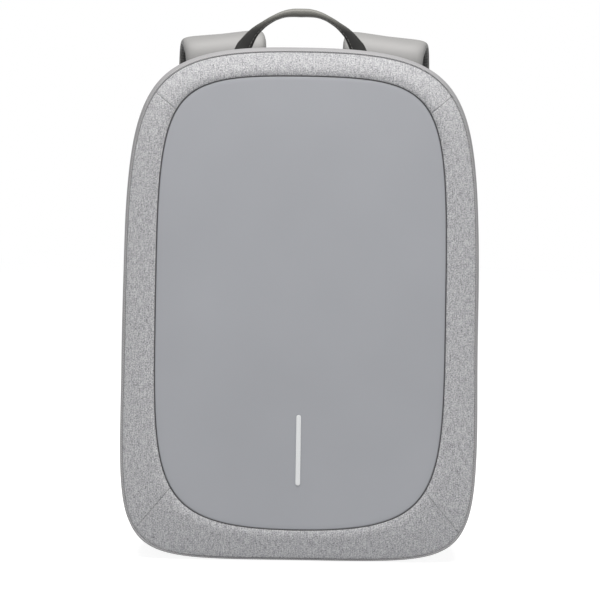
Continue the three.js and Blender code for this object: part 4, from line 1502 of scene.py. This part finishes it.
# Where the webbing bends: how far across, back and up it first runs from its tab, how far beyond
# the lock it lies flat on the inside and on the outside, how far its tail stands off, and how much
# of the shorter stretch beside a knot is rounded.
TAB_LEAD = (0, 0.001, 0.010)
FLAT_INSIDE = 0.006
FLAT_OUTSIDE = 0.004
TAIL_LIFT = 0.004
KNOT_ROUND = 0.4

# The loop's fold: how far before its end it starts, how far before its end it is nearly closed,
# and how much of its width is left there.
FOLD_START = 0.002
FOLD_NEAR = 0.0004
FOLD_LEFT = 0.75


class BACKPACK_OT_strap_webbing(bpy.types.Operator):
    """Make the webbing under each strap, and the loop that holds its ladder lock"""

    bl_idname = "backpack.strap_webbing"
    bl_label = "Webbing"

    def execute(self, context):
        colours = context.scene.backpack_colours
        route = strap_route()
        end = route.at(1)
        ahead, across, outward = strap_directions(route, 1)
        woven = plain_weave(
            "ribbed polyester webbing", colours.webbing, WEBBING_YARN, depth=0.0003, along=0.5
        )

        def at(down, out):
            return end + ahead * down + outward * out

        bar = LOOP_LENGTH + 2 * (LOCK_BAR + LOCK_SLOT)
        clear = LOCK_THICK / 2 + GAP + WEB_THICK / 2
        turn = bar - GAP - WEB_THICK / 2
        slant = WEB_HALF * abs(across.z)
        tab_top = place(TAB_OUT, GAP + TAB_THICK / 2, TAB_BOTTOM + TAB_LENGTH + GAP + slant)
        knots = [
            tab_top,
            tab_top + Vector(TAB_LEAD),
            at(bar + LOCK_BAR + FLAT_INSIDE, -clear),
            at(bar + WEB_THICK, -clear),
            at(turn, -clear + WEB_THICK / 2),
            at(turn, clear - WEB_THICK / 2),
            at(bar + WEB_THICK, clear),
            at(bar + LOCK_BAR + FLAT_OUTSIDE, clear),
            at(bar + WEB_TAIL, clear + TAIL_LIFT),
        ]
        fold = LOOP_LENGTH + LOCK_BAR + GAP + WEB_THICK / 2
        loop = [
            at(GAP, -clear),
            at(fold - FOLD_START, -clear),
            at(fold - FOLD_NEAR, -clear * FOLD_LEFT),
            at(fold, 0),
            at(fold - FOLD_NEAR, clear * FOLD_LEFT),
            at(fold - FOLD_START, clear),
            at(GAP, clear),
        ]
        for side_name, side in SIDES:
            for name, slot_node, line in (
                ("strap_webbing", "webbing", self.round_corners(knots)),
                ("lock_loop", "buckle_loop", loop),
            ):
                skin = Skin()
                skin.loft(mirrored(self.ribbon(line, across), side), tube=True)
                put_on(skin.make(f"{name}_{side_name}", [woven]), "webbing", f"{slot_node}_{side_name}")
        return {"FINISHED"}

    @staticmethod
    def round_corners(knots):
        """The line with points added, so that it bends and doesn't break at its knots."""
        line = [knots[0]]
        for before, here, after in zip(knots, knots[1:], knots[2:]):
            reach = min((here - before).length, (after - here).length) * KNOT_ROUND
            one = here + (before - here).normalized() * reach
            two = here + (after - here).normalized() * reach
            for share in spread(0.0, 1.0, 4):
                line.append(one.lerp(here, share).lerp(here.lerp(two, share), share))
        return line + [knots[-1]]

    @staticmethod
    def ribbon(line, across):
        """Sections of webbing along a line, as wide as it is on the bag."""
        section = WEBBING_SECTION + [(-wide, -high) for wide, high in WEBBING_SECTION]
        rows = []
        for index, point in enumerate(line):
            ahead = (line[min(len(line) - 1, index + 1)] - line[max(0, index - 1)]).normalized()
            side = across * WEB_HALF
            up = ahead.cross(across).normalized() * (WEB_THICK / 2)
            rows.append([point + side * wide + up * high for wide, high in section])
        return rows


# The ladder locks: how much narrower they get, the rounding of frame, slots and edges, and the
# size of the three ridges on their end, with how their ends run out.
LOCK_TAPER = 0.97
LOCK_CORNER = 0.003
SLOT_CORNER = 0.0008
LOCK_BEVEL = 0.0008
RIDGE_HALF = 0.0004
RIDGE_HEIGHT = 0.00025
RIDGE_ENDS = [(-0.8, 0.3), (-0.75, 1), (0.75, 1), (0.8, 0.3)]


class BACKPACK_OT_ladder_locks(bpy.types.Operator):
    """Make the ladder locks that hold the webbing"""

    bl_idname = "backpack.ladder_locks"
    bl_label = "Ladder locks"

    def execute(self, context):
        colours = context.scene.backpack_colours
        route = strap_route()
        end = route.at(1)
        ahead, across, outward = strap_directions(route, 1)
        half = WEB_HALF + LOCK_RAIL + GAP
        length = 3 * LOCK_BAR + 2 * LOCK_SLOT
        far = half * LOCK_TAPER
        outlines = [rounded_outline([(-half, 0), (half, 0), (far, length), (-far, length)], LOCK_CORNER)]
        reach = half - LOCK_RAIL
        for start in (LOCK_BAR, 2 * LOCK_BAR + LOCK_SLOT):
            end_of_slot = start + LOCK_SLOT
            slot = [(-reach, start), (reach, start), (reach, end_of_slot), (-reach, end_of_slot)]
            outlines.append(rounded_outline(slot, SLOT_CORNER))
        plastic = smooth_fitting(
            "moulded acetal", colours.plastic, roughness=0.35, speck=0.0007, depth=0.00002
        )
        for side_name, side in SIDES:
            mesh = flat_part(f"ladder_lock_{side_name}", outlines, LOCK_THICK, LOCK_BEVEL)
            basis = Matrix((across, ahead, outward)).transposed().to_4x4()
            flip = Matrix.Diagonal((side, 1, 1, 1))
            mesh.transform(flip @ Matrix.Translation(end) @ basis @ Matrix.Translation((0, LOOP_LENGTH, 0)))
            ridges = Skin()
            for back in (0.25, 0.5, 0.75):
                down = LOOP_LENGTH + length - LOCK_BAR * back
                rows = []
                for wide, size in RIDGE_ENDS:
                    middle = end + across * (half * wide) + ahead * down + outward * (LOCK_THICK / 2)
                    rows.append([
                        middle
                        + ahead * (RIDGE_HALF * math.cos(turn))
                        + outward * (RIDGE_HEIGHT * math.sin(turn) * size)
                        for turn in (math.tau * corner / 8 for corner in range(8))
                    ])
                ridges.loft(mirrored(rows, side), tube=True)
            put_on(ridges.make(f"lock_ridges_{side_name}", [plastic]), "buckle_plastic")
            if side < 0:
                mesh.flip_normals()
            lock = make_object(f"ladder_lock_{side_name}", mesh, [plastic])
            put_on(lock, "buckle_plastic", f"buckle_{side_name}")
        return {"FINISHED"}


# The tabs' corners and edges, and the corners of the stitched box on them with its seams, which
# run round it and across it.
TAB_CORNER = 0.0012
TAB_BEVEL = 0.0009
TAB_BOX = [(-0.0085, 0.004), (0.0085, 0.004), (0.0105, 0.02), (-0.0105, 0.02)]
TAB_SEAMS = [(0, 1), (1, 2), (2, 3), (3, 0), (0, 2), (1, 3)]


class BACKPACK_OT_anchor_tabs(bpy.types.Operator):
    """Make the sewn tabs that hold the webbing to the bottom of the back"""

    bl_idname = "backpack.anchor_tabs"
    bl_label = "Anchor tabs"

    def execute(self, context):
        sizes, colours = context.scene.backpack_sizes, context.scene.backpack_colours
        cloth = plain_weave("folded woven polyester", colours.webbing, CLOTH_YARN, 0.0002)
        thread = thread_material("polyester thread of the tabs", colours.thread)
        foot, top, length = TAB_FOOT_HALF, TAB_HALF, TAB_LENGTH
        corners = [(-foot, 0), (foot, 0), (top, length), (-top, length)]
        outlines = [rounded_outline(corners, TAB_CORNER)]
        turned = Matrix.Rotation(math.radians(90), 4, "X")
        for side_name, side in SIDES:
            mesh = flat_part(f"anchor_tab_{side_name}", outlines, TAB_THICK, TAB_BEVEL)
            here = place(TAB_OUT * side, GAP + TAB_THICK / 2, TAB_BOTTOM)
            mesh.transform(Matrix.Translation(here) @ turned)
            tab = make_object(f"webbing_tab_{side_name}", mesh, [cloth])
            put_on(tab, "tab_cloth", f"anchor_tab_{side_name}")
            face = GAP + TAB_THICK
            box = [place(TAB_OUT * side + x, face, TAB_BOTTOM + z) for x, z in TAB_BOX]
            stitches = Skin()
            for one, two in TAB_SEAMS:
                sew(stitches, [box[one], box[two]], lambda point: Vector((0, 1, 0)), sizes)
            put_on(stitches.make(f"tab_stitches_{side_name}", [thread]), "seam_cord")
        return {"FINISHED"}


# Half the floor's width, how much light it gives off, and its darkest and palest shade.
FLOOR_HALF = 6
FLOOR_GLOW = 0.86
FLOOR_SHADES = (0x8C8C8C, 0x909090)

# How bright the white round the stage is to the camera, and as light on the bag.
WHITE_SEEN = 1.0
WHITE_CAST = 0.375

# Each softbox: where it hangs, the point that it faces, its width and its power.
LAMP_COLOUR = 0xFFFDFA
SOFTBOXES = {
    "Softbox above": ((0, -0.58, 2.35), (0, 0, 0.25), 1.8, 110),
    "Softbox in front": ((0, -2.6, 0.9), (0, 0, 0.2), 1.2, 9),
}


class BACKPACK_OT_stage(bpy.types.Operator):
    """Make the pale floor, the soft studio light and the camera"""

    bl_idname = "backpack.stage"
    bl_label = "Stage"

    target = Vector((0, -0.0283, 0.213))
    distance = 2.2
    elevation = math.radians(3.0)
    roll = math.radians(0.9)
    lens = 158.8

    def execute(self, context):
        scene = context.scene
        skin, far = Skin(), FLOOR_HALF
        skin.loft([[(-far, -far, 0), (far, -far, 0)], [(-far, far, 0), (far, far, 0)]])
        # White acrylic sheet, lit from below: matt, and so bright that it nearly hides its grain.
        floor_sheet, tree, shader = new_material(
            "backlit white studio floor",
            Roughness=0.9,
            Emission_Color=linear(WHITE),
            Emission_Strength=FLOOR_GLOW,
        )
        where = add_node(tree, "ShaderNodeTexCoord").outputs["Object"]
        cloud = add_node(tree, "ShaderNodeTexNoise", {"Vector": where, "Scale": 2.0})
        tint = shades(tree, cloud.outputs["Fac"], *(linear(shade) for shade in FLOOR_SHADES))
        tree.links.new(tint, shader.inputs["Base Color"])
        skin.make("studio_floor", [floor_sheet])

        world = bpy.data.worlds.new("Soft white studio")
        world.use_nodes = True
        tree = world.node_tree
        tree.nodes.clear()
        cast, seen = (
            add_node(tree, "ShaderNodeBackground", {"Color": linear(WHITE), "Strength": strength})
            for strength in (WHITE_CAST, WHITE_SEEN)
        )
        straight = add_node(tree, "ShaderNodeLightPath").outputs["Is Camera Ray"]
        inputs = {0: straight, 1: cast.outputs[0], 2: seen.outputs[0]}
        both = add_node(tree, "ShaderNodeMixShader", inputs)
        add_node(tree, "ShaderNodeOutputWorld", {"Surface": both.outputs[0]})
        scene.world = world
        for name, box in SOFTBOXES.items():
            self.softbox(scene, name, *box)

        forward = Vector((0, math.cos(self.elevation), -math.sin(self.elevation)))
        level = Vector((1, 0, 0))
        upright = level.cross(forward)
        right = level * math.cos(self.roll) + upright * math.sin(self.roll)
        up = right.cross(forward)
        data = bpy.data.cameras.new("Camera")
        data.lens = self.lens
        data.sensor_width = 36
        data.shift_x = -0.001
        data.shift_y = -0.0017
        data.clip_start, data.clip_end = 0.1, 50
        camera = bpy.data.objects.new("Camera", data)
        scene.collection.objects.link(camera)
        turned = Matrix((right, up, -forward)).transposed().to_4x4()
        camera.matrix_world = Matrix.Translation(self.target - forward * self.distance) @ turned
        scene.camera = camera
        scene.view_settings.view_transform = "Standard"
        scene.view_settings.look = "None"
        return {"FINISHED"}

    @staticmethod
    def softbox(scene, name, position, aim, size, watts):
        """A square area light that looks at a point."""
        data = bpy.data.lights.new(name, "AREA")
        data.size = size
        data.energy = watts
        data.color = linear(LAMP_COLOUR)[:3]
        lamp = bpy.data.objects.new(name, data)
        lamp.location = position
        lamp.rotation_euler = (Vector(aim) - Vector(position)).to_track_quat("-Z", "Y").to_euler()
        scene.collection.objects.link(lamp)


OPERATORS = (
    BACKPACK_OT_front_panel,
    BACKPACK_OT_panel_bar,
    BACKPACK_OT_front_band,
    BACKPACK_OT_seam_cords,
    BACKPACK_OT_side_wall,
    BACKPACK_OT_hidden_zip,
    BACKPACK_OT_zip_slider,
    BACKPACK_OT_back_pad,
    BACKPACK_OT_carry_handle,
    BACKPACK_OT_shoulder_straps,
    BACKPACK_OT_strap_webbing,
    BACKPACK_OT_ladder_locks,
    BACKPACK_OT_anchor_tabs,
    BACKPACK_OT_stage,
)


class BACKPACK_PT_sidebar(bpy.types.Panel):
    """Lists the backpack's pieces, sizes and colours"""

    bl_idname = "BACKPACK_PT_sidebar"
    bl_label = "Backpack"
    bl_space_type = "VIEW_3D"
    bl_region_type = "UI"
    bl_category = "Backpack"

    def draw(self, context):
        for group in (context.scene.backpack_sizes, context.scene.backpack_colours):
            box = self.layout.box()
            for name in group.bl_rna.properties.keys():
                if name not in ("rna_type", "name"):
                    box.prop(group, name)
        for operator in OPERATORS:
            self.layout.operator(operator.bl_idname)


CLASSES = (BackpackSizes, BackpackColours, *OPERATORS, BACKPACK_PT_sidebar)


def register():
    for item in CLASSES:
        bpy.utils.register_class(item)
    bpy.types.Scene.backpack_sizes = PointerProperty(type=BackpackSizes)
    bpy.types.Scene.backpack_colours = PointerProperty(type=BackpackColours)


def unregister():
    del bpy.types.Scene.backpack_colours
    del bpy.types.Scene.backpack_sizes
    for item in reversed(CLASSES):
        bpy.utils.unregister_class(item)


def main():
    register()
    for operator in OPERATORS:
        group, name = operator.bl_idname.split(".")
        getattr(getattr(bpy.ops, group), name)()


if __name__ == "__main__":
    main()
